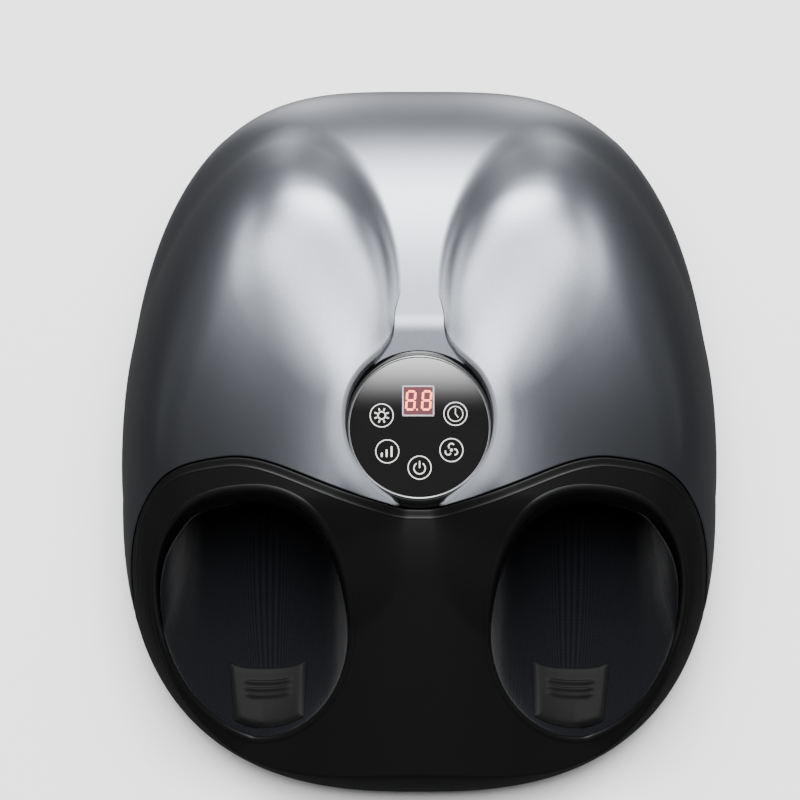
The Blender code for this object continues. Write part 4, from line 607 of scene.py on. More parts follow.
def compact(points, normals, triangles):
    """Drops the points that no triangle uses."""
    used, back = np.unique(triangles, return_inverse=True)
    return points[used], normals[used], back.reshape(-1, 3)


# %% A computed piece in the scene
CENTRE = np.array([0.0, (BACK_Y + FRONT_Y) / 2.0, 0.0])


def add_piece(name, points, faces, slot, normals=None, material=None, body=HOUSING):
    """Puts a computed surface in the scene, smooth, with the formula's own normals if given, and
    with its slot's finish unless another is given. The formula's Y is counted from the console,
    and the frame's from the middle of the length."""
    mesh = bpy.data.meshes.new(name)
    faces = faces if isinstance(faces, list) else faces.tolist()
    mesh.from_pydata((points - CENTRE).tolist(), [], faces)
    mesh.shade_smooth()
    if normals is not None:
        mesh.normals_split_custom_set_from_vertices(normals.tolist())
    mesh.materials.append(material or FINISH[slot])
    piece = bpy.data.objects.new(name, mesh)
    bpy.context.scene.collection.objects.link(piece)
    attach(piece, body)
    return piece


# %% [markdown]
# ## The mouth line
#
# The silver shell ends at a line that rises from the panel to the crest of each pod in a cosine
# wave, then turns down to the outline with a rounded corner. Its distance is measured to a fine
# polyline, so a seam along it has the same width everywhere.

# %% The mouth line and its distance
MOUTH_Y, MOUTH_RISE, CREST_X, CORNER = -0.0795, 0.031, 0.121, 0.0634
TAIL_X = [0.190, 0.230]  # straight on from the corner, past the outline


def mouth_curve(count=400):
    """Points of the mouth line from the middle to beyond the right-hand outline."""
    x = CREST_X * np.linspace(0.0, 1.0, count)
    wave = MOUTH_Y + MOUTH_RISE * (1.0 - np.cos(math.pi * (x / CREST_X) ** 1.25)) / 2.0
    turn = np.linspace(0.0, math.pi / 2.0, count)[1:]
    bend_x = CREST_X + CORNER * np.sin(turn) ** (2.0 / 3.0)
    bend_y = MOUTH_Y + MOUTH_RISE - CORNER * (1.0 - np.cos(turn) ** (2.0 / 3.0))
    tail_y = [bend_y[-1]] * len(TAIL_X)
    return np.concatenate([x, bend_x, TAIL_X]), np.concatenate([wave, bend_y, tail_y])


curve_x, curve_y = mouth_curve()
BATCH = 4000  # points at a time, to spare the memory


def seam_distance(x, y):
    """Signed distance to the mouth line, positive on the silver side."""
    side, y = np.abs(np.asarray(x, float)), np.asarray(y, float)
    a = np.stack([curve_x[:-1], curve_y[:-1]], -1)
    run = np.diff(np.stack([curve_x, curve_y], -1), axis=0)
    flat_x, flat_y = side.ravel(), y.ravel()
    found = np.zeros(flat_x.size)
    for low in range(0, flat_x.size, BATCH):
        some = slice(low, low + BATCH)
        p = np.stack([flat_x[some], flat_y[some]], -1)[:, None, :] - a[None]
        share = np.clip((p * run).sum(-1) / (run * run).sum(-1), 0.0, 1.0)
        gap = p - share[..., None] * run
        far = np.hypot(gap[..., 0], gap[..., 1])
        near = far.argmin(1)
        rows = np.arange(len(near))
        cross = run[near, 0] * p[rows, near, 1] - run[near, 1] * p[rows, near, 0]
        found[some] = far[rows, near] * np.where(cross < 0.0, -1.0, 1.0)
    return found.reshape(side.shape)


# %% [markdown]
# ## The painted shell
#
# The shell is the skin behind the mouth line. The pods are cut away over the recess, and the
# recess's floor has a round hole for the panel. The edges are turned over, and the skirt is turned
# in at the bottom.

# %% Lines of the painted shell
DIAL_Z = float(console(DIAL_Y))
DIAL = Matrix.Translation((0.0, DIAL_Y, DIAL_Z)) @ Matrix.Rotation(CONSOLE_TILT, 4, "X")
HOLE = 0.0476
EDGE = 0.0009
WALL_ROUND = 0.0030
SEAM_GAP = 0.0004
SHELL_WALL = 0.0028


def hole_distance(x, y):
    """Distance outside the panel's round hole, measured in the sloping console's own plane."""
    return np.hypot(x, (y - DIAL_Y) / math.cos(CONSOLE_TILT)) - HOLE - EDGE / 2.0


def recess(x, y):
    """How far the pods stand over the ground, which is the height of the keyhole's wall."""
    rise = skin(x, y) - ground(x, y)
    return np.where(rise > 0.0003, rise, 0.0)


def basin(x, y):
    """The keyhole's distance, joined by a fillet to the line where the pods meet the valley. That
    line counts only near the keyhole's neck, so the pods' flanks stay whole."""
    foot = 0.9 * (soft_min(pods(x, y), front_slope(x, y), POD_BLEND) - ground(x, y)) - 0.0012
    foot = foot + 0.006 * smooth_share((y - 0.034) / 0.040) + 2.0 * np.maximum(0.014 - y, 0.0)
    foot = np.maximum(foot, np.maximum(y - 0.074, np.abs(x) - 0.040))
    return soft_min(keyhole(x, y), foot, 0.012)


def shell_edge(x, y):
    """Distance behind the seam, less the rounded edge."""
    return seam_distance(x, y) - SEAM_GAP - EDGE


def skirt(points, normals, triangles, rows, columns):
    """Turns the skirt's last ring in by the wall, as an open shell has at its bottom."""
    last = (rows - 1) * columns + np.arange(columns)
    flat = normals[last] * np.array([1.0, 1.0, 0.0])
    flat /= np.linalg.norm(flat, axis=1, keepdims=True)
    ring = len(points) + np.arange(columns)
    after = np.roll(np.arange(columns), -1)
    quads = np.stack([last[after], last, ring, ring[after]], -1)
    inner = np.concatenate([points, points[last] - flat * SHELL_WALL])
    down = np.concatenate([normals, np.tile([0.0, 0.0, -1.0], (columns, 1))])
    return inner, down, np.concatenate([triangles, split(quads)])


# %% Cut the painted shell
rows, columns = grid_x.shape
skin_points = np.stack([grid_x, grid_y, grid_z], -1).reshape(-1, 3)
skin_triangles = split(grid_faces(rows, columns))
skin_normals = vertex_normals(skin_points, skin_triangles)
RIM_RINGS = 40  # near the outline the formula's slope is too steep to take differences of
INSIDE = (rows - RIM_RINGS) * columns
skin_normals[:INSIDE] = skin_normal(grid_x, grid_y).reshape(-1, 3)[:INSIDE]
skin_mesh = skirt(skin_points, skin_normals, skin_triangles, rows, columns)
part = cut(*skin_mesh, shell_edge)
silver = lip(part, shell_edge, EDGE, 0.0018)
part = cut(*silver, basin)
outer = lip(part, basin, lambda x, y: np.minimum(WALL_ROUND, 0.5 * recess(x, y)), recess, 8)

floor_points = np.stack([grid_x, grid_y, ground(grid_x, grid_y)], -1).reshape(-1, 3)
floor_normals = skin_normal(grid_x, grid_y, ground).reshape(-1, 3)
part = cut(floor_points, floor_normals, skin_triangles, lambda x, y: 0.0001 - basin(x, y))
part = cut(*part[:3], lambda x, y: y - DIAL_Y + 0.0150)
part = cut(*part[:3], hole_distance)
inner = lip(part, hole_distance, EDGE / 2.0, 0.0020)
both = [np.concatenate([outer[0], inner[0]]), np.concatenate([outer[1], inner[1]])]
silver = compact(*both, np.concatenate([outer[2], inner[2] + len(outer[0])]))
shell = add_piece("shell_skin", silver[0], silver[2], "silver_paint", silver[1])
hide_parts("top_shell")
print("shell_skin:", len(silver[2]), "triangles")

# %% [markdown]
# ## The black fascia and its bead
#
# The fascia is the skin before the mouth line, cut back by a bead's width and open over the two
# wells. A tongue of the same plastic lies 3 mm under the seam, as on a real joint, so nothing is
# seen through it. The bead is a strip that follows the mouth line: a flat band half a millimetre
# low, with a fine rib at its front edge that catches the light.

# %% Cut the fascia and its tongue
WELL_X, WELL_Y, WELL_A, WELL_B, WELL_LEAN = 0.104, -0.134, 0.060, 0.065, 0.15
WELL_BACK_POWER, WELL_FRONT_POWER = 2.4, 1.95
BEAD = 0.0060
TONGUE_REACH, TONGUE_DEPTH = 0.0070, 0.0030


def well_rim(turn, grow=0.0):
    """A well's rim in plan, by a turn from its back over its outer side: half superellipses."""
    c, s = np.cos(turn), np.sin(turn)
    power = np.where(c > 0.0, WELL_BACK_POWER, WELL_FRONT_POWER)
    along = (WELL_B + grow) * np.sign(c) * np.abs(c) ** (2.0 / power)
    across = (WELL_A + grow) * np.sign(s) * np.abs(s) ** (2.0 / power)
    return WELL_X + WELL_LEAN * along + across, WELL_Y + along


def well_distance(x, y, grow=0.0034):
    """Roughly the distance outside a grown well's rim."""
    side = np.abs(x)
    along = y - WELL_Y
    across = side - WELL_X - WELL_LEAN * along
    power = np.where(along > 0.0, WELL_BACK_POWER, WELL_FRONT_POWER)
    a, b = WELL_A + grow, WELL_B + grow
    reach = (np.abs(across / a) ** power + np.abs(along / b) ** power) ** (1.0 / power)
    return (reach - 1.0) * a


def fascia_edge(x, y):
    """Distance before the bead's front edge."""
    return -seam_distance(x, y) - BEAD + SEAM_GAP


part = cut(*skin_mesh, fascia_edge)
part = cut(*part[:3], well_distance)
deck = compact(*part[:3])
fascia = add_piece("fascia_skin", deck[0], deck[2], "black_satin", deck[1])
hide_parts("front_fascia")

part = cut(*skin_mesh, lambda x, y: TONGUE_REACH - np.abs(seam_distance(x, y)))
part = cut(*part[:3], lambda x, y: keyhole(x, y) - 0.0005)
under = compact(part[0] - part[1] * TONGUE_DEPTH, part[1], part[2])
tongue = add_piece("fascia_tongue", under[0], under[2], "black_satin", under[1])
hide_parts("front_fascia")


# %% Sweep the bead
def strip(name, path_x, path_y, out_x, out_y, profile, slot, closed):
    """Sweeps a profile of (offset, height) along a plan line. Offsets lie in the plan and are kept
    within the outline, and heights lie along the skin's normal."""
    points = []
    for offset, height in profile:
        x, y = path_x + out_x * offset, path_y + out_y * offset
        over = np.maximum(outline_reach(x, y), 1.0)
        x, y = x / over, WIDEST_Y + (y - WIDEST_Y) / over
        points.append(np.stack([x, y, skin(x, y)], -1) + skin_normal(x, y) * height)
    points = np.stack(points)
    faces = grid_faces(len(profile), len(path_x), closed)
    return add_piece(name, points.reshape(-1, 3), faces, slot)


def plan_normals(x, y, closed):
    """Unit vectors in the plan, square to a line and to its right."""
    if closed:
        run_x, run_y = np.roll(x, -1) - np.roll(x, 1), np.roll(y, -1) - np.roll(y, 1)
    else:
        run_x, run_y = np.gradient(x), np.gradient(y)
    size = np.hypot(run_x, run_y)
    return run_y / size, -run_x / size


def even(x, y, count):
    """The same line, with points at even distances."""
    length = np.concatenate([[0.0], np.cumsum(np.hypot(np.diff(x), np.diff(y)))])
    at = np.linspace(0.0, length[-1], count)
    return np.interp(at, length, x), np.interp(at, length, y)


right = curve_x < HALF_WIDTH
line_x = np.concatenate([-curve_x[right][::-1], curve_x[right][1:]])
line_y = np.concatenate([curve_y[right][::-1], curve_y[right][1:]])
line_x, line_y = even(line_x, line_y, 900)
bead_out = plan_normals(line_x, line_y, False)
BEAD_PROFILE = [
    (0.0062, -0.0007), (0.0060, -0.0001), (0.0057, 0.0001), (0.0054, 0.0002), (0.0051, 0.0001),
    (0.0048, -0.0003), (0.0044, -0.0005), (0.0030, -0.0005), (0.0012, -0.0005),
    (0.0006, -0.0006), (0.0003, -0.0010), (0.0003, -0.0030),
]
bead = strip("fascia_bead", line_x, line_y, *bead_out, BEAD_PROFILE, "black_satin", False)
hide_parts("front_fascia")
print("fascia_skin:", len(deck[2]), "triangles; bead:", len(bead.data.polygons), "faces")

# %% [markdown]
# ## The wells
#
# Each well has a rolled rim and a funnel that narrows as it goes down. Below it hangs a cloth
# pocket: its rings start at the funnel, drop to the sole and run on to the toes along a cubic.
# The pocket could be a cloth simulation, but it is held stretched on all sides, so its formula
# gives the same shape, and the same shape every time.

# %% Rims and funnels
SOLE_TILT = math.radians(8.0)
SOLE = Matrix.Translation((0.097, -0.020, 0.036)) @ Matrix.Rotation(SOLE_TILT, 4, "X")
SOLE_BACK = SOLE.inverted()
LINER = 0.0016
FLOOR = 0.0200 + LINER
RIM_PROFILE = [
    (0.0046, -0.0008), (0.0038, 0.0000), (0.0032, 0.0003), (0.0024, 0.0005),
    (0.0015, 0.0005), (0.0007, 0.0003), (0.0001, -0.0002), (-0.0002, -0.0010),
]


def times(matrix, points):
    """A 4x4 matrix times an array of points."""
    m = np.array(matrix)
    return points @ m[:3, :3].T + m[:3, 3]


def circle_of(count):
    """Even turns round a circle."""
    return np.arange(count) * 2.0 * math.pi / count


def funnel_depth(turn):
    """How far a funnel goes down: less at the heel than elsewhere."""
    heel = (1.0 - np.cos(turn)) / 2.0
    return 0.015 - 0.011 * heel * heel


def funnel(side, count=260):
    """A well's rim and funnel: a roll over the deck's edge, then a wall that narrows downwards and
    ends in a hem that reaches back over the cloth. A wall ring is (offset, drop)."""
    turn = circle_of(count)
    x, y = well_rim(turn)
    out_x, out_y = plan_normals(x, y, True)
    flip = np.sign((out_x * (x - WELL_X) + out_y * (y - WELL_Y)).sum())
    out_x, out_y = out_x * flip, out_y * flip
    top = skin(x + out_x * 0.0015, y + out_y * 0.0015)
    depth = funnel_depth(turn)
    rings = []
    for offset, height in RIM_PROFILE:
        px, py = x + out_x * offset, y + out_y * offset
        rings.append(np.stack([px, py, skin(px, py)], -1) + skin_normal(px, py) * height)
    shares = (0.12, 0.3, 0.5, 0.7, 0.88, 1.0)
    wall = [(-0.0002 - 0.0011 * share, depth * share + 0.0006) for share in shares]
    for offset, drop in wall + [(-0.0016, depth + 0.0050), (0.0012, depth + 0.0054)]:
        rings.append(np.stack([x + out_x * offset, y + out_y * offset, top - drop], -1))
    rings = np.stack(rings)
    rings[..., 0] *= side
    faces = grid_faces(len(rings), count)[:, :: int(side)]
    name = "well_rim_right" if side > 0 else "well_rim_left"
    return add_piece(name, rings.reshape(-1, 3), faces, "black_satin")


# %% The pocket's rings
TUNNEL_START, TUNNEL_LENGTH = -0.025, 0.153
TUNNEL_HALF, TUNNEL_HEIGHT = 0.051, 0.080
SETTLED = 0.92


def tunnel(along, turn, grow):
    """A ring of the tunnel in the sole's frame: turn 0 is its top, and half a turn its floor."""
    share = (along - TUNNEL_START) / TUNNEL_LENGTH
    rounding = crown(np.maximum(share, 0.0), 3.2)
    half = TUNNEL_HALF * (1.0 - 0.14 * share) * rounding
    height = TUNNEL_HEIGHT * (1.0 - 0.38 * share) * rounding
    belt = 0.42 * height
    c, s = np.cos(turn), np.sin(turn)
    power = np.where(c > 0.0, 2.4, 3.6)
    across = np.sign(s) * np.abs(s) ** (2.0 / power)
    up = np.sign(c) * np.abs(c) ** (2.0 / power)
    rise = np.where(up > 0.0, height - belt, belt)
    x = -0.06 * along + (half + grow) * across
    return np.stack([x, np.broadcast_to(along, x.shape), FLOOR + belt + (rise + grow) * up], -1)


def bend(share, turn, grow):
    """The cloth between funnel and tunnel: a cubic that drops, then runs along the foot."""
    x, y = well_rim(turn, grow)
    z = skin(x, y) - funnel_depth(turn) - 0.0012 - LINER
    start = times(SOLE_BACK, np.stack([x, y, z], -1))
    end = tunnel(TUNNEL_START, turn, grow)
    sole = (1.0 - np.cos(turn)) / 2.0
    settled = SETTLED * np.minimum(sole / 0.3, 1.0)
    dropped = start.copy()
    dropped[..., 2] += (end[..., 2] - start[..., 2]) * settled
    pulled = end.copy()
    pulled[..., 1] -= 0.006 + 0.079 * sole
    w = ((1 - share) ** 3, 3 * (1 - share) ** 2 * share, 3 * (1 - share) * share**2, share**3)
    point = start * w[0] + dropped * w[1] + pulled * w[2] + end * w[3]
    point[..., 2] = np.maximum(point[..., 2], FLOOR - grow)
    return point


# %% The cloth pocket
FOLD = 0.0007


def folded(rings, turn):
    """The rings with shallow folds: two sine waves round the upper half, which turn as they go
    down and die out towards the toes."""
    inward = rings.mean(axis=1, keepdims=True) - rings
    inward /= np.linalg.norm(inward, axis=-1, keepdims=True)
    level = np.linspace(0.0, 1.0, len(rings))[:, None]
    upper = (1.0 + np.cos(turn))[None, :] / 2.0
    coarse = np.sin(9.0 * turn[None, :] + 5.0 * level)
    fine = np.sin(17.0 * turn[None, :] - 9.0 * level + 1.0)
    fold = FOLD * (coarse + 0.6 * fine) * upper * np.minimum(level * 9.0, 1.0) * (1.0 - level)
    return rings + inward * (fold + FOLD)[..., None]


def lay_out(piece, faces, world):
    """The cloth's own UV map in metres: across is the share of the mouth's girth, and along is
    the way down from the mouth."""
    count, spokes = world.shape[:2]
    girth = np.linalg.norm(world - np.roll(world, -1, axis=1), axis=-1).sum(axis=1)
    steps = np.linalg.norm(np.diff(world, axis=0), axis=-1).mean(axis=1)
    down = np.concatenate([[0.0], np.cumsum(steps)])
    corners = np.zeros(len(piece.data.loops), dtype=np.int32)
    piece.data.loops.foreach_get("vertex_index", corners)
    owner = np.repeat(np.arange(len(faces)), [len(face) for face in faces])
    spoke = corners % spokes
    widest = np.zeros(len(faces), dtype=int)
    np.maximum.at(widest, owner, spoke)
    wraps = (widest[owner] == spokes - 1) & (spoke == 0)
    row = np.minimum(corners // spokes, count - 1)
    values = np.stack([np.where(wraps, spokes, spoke) / spokes * girth[0], down[row]], -1)
    piece.data.uv_layers.new(name="cloth").data.foreach_set("uv", values.ravel())
    area = sum(polygon.area for polygon in piece.data.polygons)
    print(piece.name, "girth %.3f length %.3f area %.4f" % (girth.max(), down[-1], area))


def pocket(side, spokes=128):
    """The cloth pocket: rings down the bend and along the tunnel, closed at the toes."""
    turn = circle_of(spokes)
    shares = np.sin(math.pi / 2.0 * np.minimum(np.linspace(0.0, 1.0, 34), 0.985))
    rings = [bend(share, turn, -LINER * 0.6) for share in np.linspace(0.0, 1.0, 40)[:-1]]
    rings += [tunnel(TUNNEL_START + 0.151 * share, turn, -LINER * 0.6) for share in shares]
    world = times(SOLE, folded(np.stack(rings), turn))
    world[..., 0] *= side
    count = len(world)
    points = np.concatenate([world.reshape(-1, 3), world[-1].mean(axis=0, keepdims=True)])
    last = (count - 1) * spokes + np.arange(spokes)
    cap = np.stack([last, np.full(spokes, count * spokes), np.roll(last, -1)], -1)
    order = slice(None, None, int(side))
    faces = grid_faces(count, spokes)[:, order].tolist() + cap[:, order].tolist()
    name = "pocket_right" if side > 0 else "pocket_left"
    piece = add_piece(name, points, faces, "fabric")
    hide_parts("well_liner_right" if side > 0 else "well_liner_left")
    lay_out(piece, faces, world)
    return piece


# %% The heel plate
HEEL_TURN = math.pi / 8.0
HEEL_STEPS = (1.0, 3.0)  # of the six steps of the bend
HEEL_THICK, HEEL_RIB = 0.0026, 0.0012


def heel_plate(side, rows=72, columns=30):
    """The heel plate: a thin dish on the pocket's floor, with three ribs and rounded edges. A rib
    is a bell curve along the plate, and it ends before the plate's sides."""
    step = np.linspace(*HEEL_STEPS, rows)[:, None]
    across = np.linspace(-1.0, 1.0, columns)[None, :]
    ribs = sum(np.exp(-(((step - middle) / 0.055) ** 2)) for middle in (2.15, 2.35, 2.55))
    ribs = HEEL_RIB * ribs / (1.0 + np.exp((np.abs(across) - 0.52) * 60.0))
    rim = (1.0 - np.abs(step - 2.0) ** 14) * (1.0 - np.abs(across) ** 14)
    rise = (HEEL_THICK * np.sqrt(np.clip(rim, 0.0, 1.0)) + ribs) / HEEL_THICK
    turn = math.pi + HEEL_TURN * across[0]
    shares = step[:, 0] / 6.0
    low, over = (
        np.stack([bend(share, turn, -(LINER + lift)) for share in shares])
        for lift in (0.0007, 0.0007 + HEEL_THICK)
    )
    world = times(SOLE, np.stack([low + (over - low) * rise[..., None], low]))
    world[..., 0] *= side
    faces = grid_faces(rows, columns, False)
    under = faces[:, ::-1] + rows * columns
    faces = np.concatenate([faces, under])[:, :: -int(side)]
    name = "heel_plate_right" if side > 0 else "heel_plate_left"
    piece = add_piece(name, world.reshape(-1, 3), faces, "grey_plastic", material=HEEL)
    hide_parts("heel_rest_right" if side > 0 else "heel_rest_left")


for hand in (1.0, -1.0):
    heel_plate(hand)
    rim = funnel(hand)
    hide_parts("front_fascia")
    cloth = pocket(hand)

# %% [markdown]
# ## The control panel
#
# The collar, the bright ring and the panel are turned again with many more sides, from the same
# profiles as the solids. The printed signs and the digits are thin flat prisms on the panel.


# %% Turned rings and the panel
def turned(name, profile, slot, node, count=192):
    """A closed ring or disc turned about the panel's own axis from (radius, height) pairs."""
    turn = circle_of(count)
    c, s = np.cos(turn), np.sin(turn)
    rings = np.stack([np.stack([r * c, r * s, np.full(count, z)], -1) for r, z in profile])
    faces = grid_faces(len(profile), count)
    start = (len(profile) - 1) * count
    if profile[0] == profile[-1]:
        points = rings[:-1].reshape(-1, 3)
        faces = (faces % len(points)).tolist()
    else:
        points = rings.reshape(-1, 3)
        faces = faces.tolist() + [list(range(count))[::-1], list(range(start, start + count))]
    piece = add_piece(name, times(DIAL, points), faces, slot)
    piece.data.set_sharp_from_angle(angle=math.radians(32.0))
    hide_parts(node)
    return piece


def arc(r0, z0, r1, z1, bulge=0.0003, steps=5):
    """Profile points on a shallow arc between two points, pushed up by a bulge."""
    points = []
    for t in (k / steps for k in range(steps + 1)):
        lift = bulge * math.sin(math.pi * t)
        points.append((r0 + (r1 - r0) * t, z0 + (z1 - z0) * t + lift))
    return points


collar = [
    (0.0446, -0.0095), (0.0473, -0.0095), (0.0473, -0.0030), (0.0496, -0.0030), (0.0496, -0.0020),
    (0.0473, -0.0012), (0.0473, 0.0006), *arc(0.0472, 0.0011, 0.0446, 0.0021), (0.0446, -0.0095),
]
bezel = [
    (0.0410, -0.0012), (0.0444, -0.0012), (0.0444, 0.0023), *arc(0.0443, 0.0026, 0.0434, 0.0026),
    (0.0434, 0.0003), (0.0410, 0.0003), (0.0410, -0.0012),
]
glass = [(0.0430, 0.0006), (0.0430, 0.0022), (0.0428, 0.00245), (0.0425, 0.0026)]
turned("collar_ring", collar, "black_gloss", "control_collar")
turned("bright_ring", bezel, "chrome", "bezel_ring")
turned("panel_face", glass, "glass", "control_glass")

# %% [markdown]
# Printed marks are too thin to model as ink, so each is a closed prism 0.06 mm thick that stands
# on the panel. The digits stand on the window's ground, a hundredth of a millimetre higher.

# %% A pen for printed marks
INK_LOW, INK_HIGH = 0.00262, 0.00268


class Ink:
    """Collects flat prisms on the panel: bars, rings and arcs, in millimetres from its middle."""

    def __init__(self):
        self.points, self.faces = [], []

    def prism(self, outline):
        """Adds one closed flat prism over an outline, which runs anticlockwise."""
        start, count = len(self.points), len(outline)
        for z in (INK_LOW, INK_HIGH):
            self.points += [(x / 1000.0, y / 1000.0, z) for x, y in outline]
        self.faces.append([start + k for k in reversed(range(count))])
        self.faces.append([start + count + k for k in range(count)])
        for k in range(count):
            after = (k + 1) % count
            self.faces.append([start + k, start + after, start + count + after, start + count + k])

    def bar(self, x0, y0, x1, y1, width):
        """A straight bar with pointed ends."""
        run = Vector((x1 - x0, y1 - y0)).normalized()
        side = Vector((-run.y, run.x)) * width / 2.0
        end = run * width * 0.3
        a, b = Vector((x0, y0)), Vector((x1, y1))
        self.prism([tuple(p) for p in (a - side, b - side, b + end, b + side, a + side, a - end)])

    def ring(self, x, y, radius, width, start=0.0, sweep=360.0, steps=40):
        """A ring or part of one, as a run of short quads."""
        count = max(int(steps * sweep / 360.0), 3)
        inner, outer = radius - width / 2.0, radius + width / 2.0
        for k in range(count):
            a = math.radians(start + sweep * k / count)
            b = math.radians(start + sweep * (k + 1) / count)
            corners = ((inner, a), (outer, a), (outer, b), (inner, b))
            self.prism([(x + r * math.cos(t), y + r * math.sin(t)) for r, t in corners])

    def finish(self, name, slot, material):
        """Makes the piece in the panel's frame."""
        points = times(DIAL, np.array(self.points))
        piece = add_piece(name, points, self.faces, slot, material=material)
        piece.data.shade_flat()


# %% The printed signs
signs = Ink()
KEYS = {
    "heat": (-23.2, 7.3),
    "time": (22.3, 8.3),
    "strength": (-19.7, -14.9),
    "air": (19.8, -14.1),
    "power": (0.2, -24.9),
}
for x, y in KEYS.values():
    signs.ring(x, y, 7.1, 0.62, steps=64)
x, y = KEYS["heat"]
signs.ring(x, y, 2.3, 0.85)
for k in range(8):
    a = math.radians(45.0 * k + 22.5)
    c, s = math.cos(a), math.sin(a)
    signs.bar(x + 3.3 * c, y + 3.3 * s, x + 4.6 * c, y + 4.6 * s, 0.95)
x, y = KEYS["time"]
signs.ring(x, y, 4.6, 0.55)
signs.bar(x, y, x, y + 3.2, 0.55)
signs.bar(x, y, x + 1.7, y - 2.2, 0.55)
x, y = KEYS["strength"]
for k, height in enumerate((2.2, 4.2, 6.2)):
    signs.bar(x - 3.4 + 3.0 * k, y - 3.2, x - 3.4 + 3.0 * k, y - 3.2 + height, 1.15)
x, y = KEYS["air"]
for k in range(3):
    a = 90.0 + 120.0 * k
    cx, cy = x + 2.3 * math.cos(math.radians(a)), y + 2.3 * math.sin(math.radians(a))
    signs.ring(cx, cy, 1.75, 0.8, a - 60.0, 190.0)
signs.ring(x, y, 0.5, 0.8, steps=16)
x, y = KEYS["power"]
signs.ring(x, y - 0.4, 3.5, 0.75, 122.0, 296.0)
signs.bar(x, y - 0.1, x, y + 4.0, 0.8)
# The printed signs are not lit, so their faint glow is painted light.
signs.finish("panel_signs", "glass", glowing("printed_ink_painted_glow", (0.62, 0.61, 0.58, 1.0), 0.25))

# %% [markdown]
# The window has a pale frame and a dark red ground. Its two digits are the seven bars of a
# numeric display, lit from behind.

# %% The display window
LEFT, RIGHT, LOWER, UPPER = -10.1, 8.8, 7.3, 25.4
FRAME_INSET = 0.5
window = Ink()
for y in (LOWER, UPPER):
    window.bar(LEFT, y, RIGHT, y, 0.85)
for x in (LEFT, RIGHT):
    window.bar(x, LOWER, x, UPPER, 0.85)
# The frame is print as well, with a fainter painted glow.
window.finish("window_frame", "glass", glowing("window_print_painted_glow", (0.40, 0.38, 0.39, 1.0), 0.12))


def box(ink, x0, y0, x1, y1):
    """A rectangle."""
    ink.prism([(x0, y0), (x1, y0), (x1, y1), (x0, y1)])


dark_red = moulded("window_red", (0.085, 0.020, 0.024, 1.0), 0.30, 900.0, 0.00001)
pane = Ink()
box(pane, LEFT + FRAME_INSET, LOWER + FRAME_INSET, RIGHT - FRAME_INSET, UPPER - FRAME_INSET)
pane.finish("window_ground", "display", dark_red)

# %% The digits
INK_LOW, INK_HIGH = INK_HIGH + 0.00001, INK_HIGH + 0.00006
DIGIT_WIDTH, DIGIT_HEIGHT, DIGIT_SLANT, SEGMENT_GAP = 5.0, 11.2, 0.08, 0.75
FLAT_BARS = [(0, 0, 1, 0), (0, 1, 1, 1), (0, 2, 1, 2)]
TALL_BARS = [(0, 0, 0, 1), (0, 1, 0, 2), (1, 0, 1, 1), (1, 1, 1, 2)]


def digit(ink, x, y):
    """The seven lit bars of a slanted digit, whose lower left corner is at x, y. Each runs between
    two corners of a grid of 1 by 2, and stops a gap short of both."""
    for bars, gap_x, gap_y in ((FLAT_BARS, SEGMENT_GAP, 0.0), (TALL_BARS, 0.0, SEGMENT_GAP)):
        for x0, y0, x1, y1 in bars:
            ax, ay = x0 * DIGIT_WIDTH + gap_x, y0 * DIGIT_HEIGHT / 2.0 + gap_y
            bx, by = x1 * DIGIT_WIDTH - gap_x, y1 * DIGIT_HEIGHT / 2.0 - gap_y
            ink.bar(x + ax + DIGIT_SLANT * ay, y + ay, x + bx + DIGIT_SLANT * by, y + by, 1.35)


lit = Ink()
digit(lit, -8.2, 11.0)
digit(lit, 1.6, 11.0)
box(lit, -1.9, 10.4, -0.9, 11.4)
lit.finish("lit_digits", "display", glowing("lit_red", (1.0, 0.22, 0.12, 1.0), 2.6))

# %% [markdown]
# ## Studio
#
# Metallic paint shows little but reflections, so the room is painted as light: a world whose
# strength depends on the direction alone, dim all round, with soft glows over the object that make
# the highlights on the pods. One area light overhead brightens the floor, and reflections leave it
# out. The camera looks down at 69 degrees, as the photograph does.

# %% The floor
floor_mesh = bpy.data.meshes.new("floor")
floor_mesh.from_pydata([(-6, -6, 0), (6, -6, 0), (6, 6, 0), (-6, 6, 0)], [], [[0, 1, 2, 3]])
floor = bpy.data.objects.new("floor", floor_mesh)
bpy.context.scene.collection.objects.link(floor)
floor_mesh.materials.append(Material("floor", base_color=grey(0.78), roughness=0.9).data)
floor.visible_glossy = False


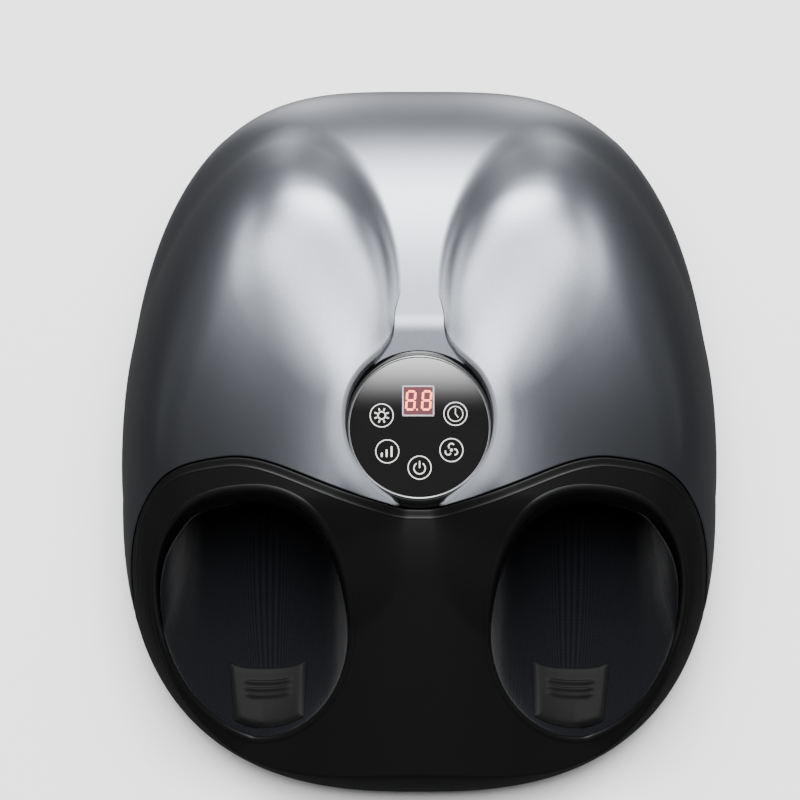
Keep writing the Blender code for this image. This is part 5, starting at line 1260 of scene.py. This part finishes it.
# %% The room's light
class Studio(Tree):
    """The room's light, by direction. The angle runs from the back horizon (0) over the top (90) to
    the front (180), and the side is a direction's share of X."""

    def __init__(self):
        world = bpy.data.worlds.new("studio")
        bpy.context.scene.world = world
        world.use_nodes = True
        self.tree = world.node_tree
        heading = self.node("TexCoord", output=0)
        x, y, z = (self.node("SeparateXYZ", output=axis, Vector=heading) for axis in range(3))
        self.side = x.math("ABSOLUTE")
        self.angle = z.math("ARCTAN2", y) * (180.0 / math.pi)
        total = DIM
        for light in SOFT_LIGHTS:
            total = self.glow(*light) + total
        back = self.tree.nodes["Background"]
        connect(self.tree, back.inputs["Strength"], total)
        back.inputs["Color"].default_value = (0.97, 0.98, 1.0, 1.0)

    def glow(self, strength, angle, width, side, spread):
        """A round glow at each side: e to the minus squares of both offsets."""
        up = (self.angle - angle) / width
        out = (self.side - side) / spread
        return (up * up + out * out).math("MULTIPLY", -1.0).math("EXPONENT") * strength


# strength, angle and width in degrees, side and its spread
SOFT_LIGHTS = [
    (11.5, 37.0, 15.5, 0.047, 0.163),
    (7.4, 79.6, 15.5, 0.0, 0.263),
    (2.67, 52.2, 24.3, 0.586, 0.090),
    (0.52, 36.6, 53.0, 0.142, 0.600),
    (1.46, -27.4, 20.3, 0.132, 0.144),
    (1.13, 106.0, 7.3, 0.319, 0.070),
    (4.80, 59.6, 10.0, 0.300, 0.175),
    (1.30, 114.0, 6.0, 0.120, 0.220),
]
DIM = 0.08
Studio()


def soft_light(name, position, target, size, power):
    """A rectangular soft light that faces a target."""
    data = bpy.data.lights.new(name, "AREA")
    data.shape = "RECTANGLE"
    data.size, data.size_y = size
    data.energy = power
    light = bpy.data.objects.new(name, data)
    light.location = position
    light.rotation_euler = (Vector(target) - Vector(position)).to_track_quat("-Z", "Y").to_euler()
    light.visible_glossy = False
    bpy.context.scene.collection.objects.link(light)


soft_light("floor_fill", (0.0, 0.6, 3.0), (0.0, 0.3, 0.0), (3.0, 3.0), 260.0)

# %% The camera
LOOK_DOWN, CAMERA_DISTANCE = math.radians(69.0), 1.75
camera_data = bpy.data.cameras.new("camera")
camera_data.lens = 120.3
camera_data.sensor_width = 36.0
camera_data.shift_x = -0.0241
camera = bpy.data.objects.new("camera", camera_data)
target = Vector((0.0, 0.0197, 0.070)) - Vector(CENTRE)
away = Vector((0.0, -math.cos(LOOK_DOWN), math.sin(LOOK_DOWN)))
camera.location = target + away * CAMERA_DISTANCE
camera.rotation_euler = (-away).to_track_quat("-Z", "Y").to_euler()
bpy.context.scene.collection.objects.link(camera)
bpy.context.scene.camera = camera
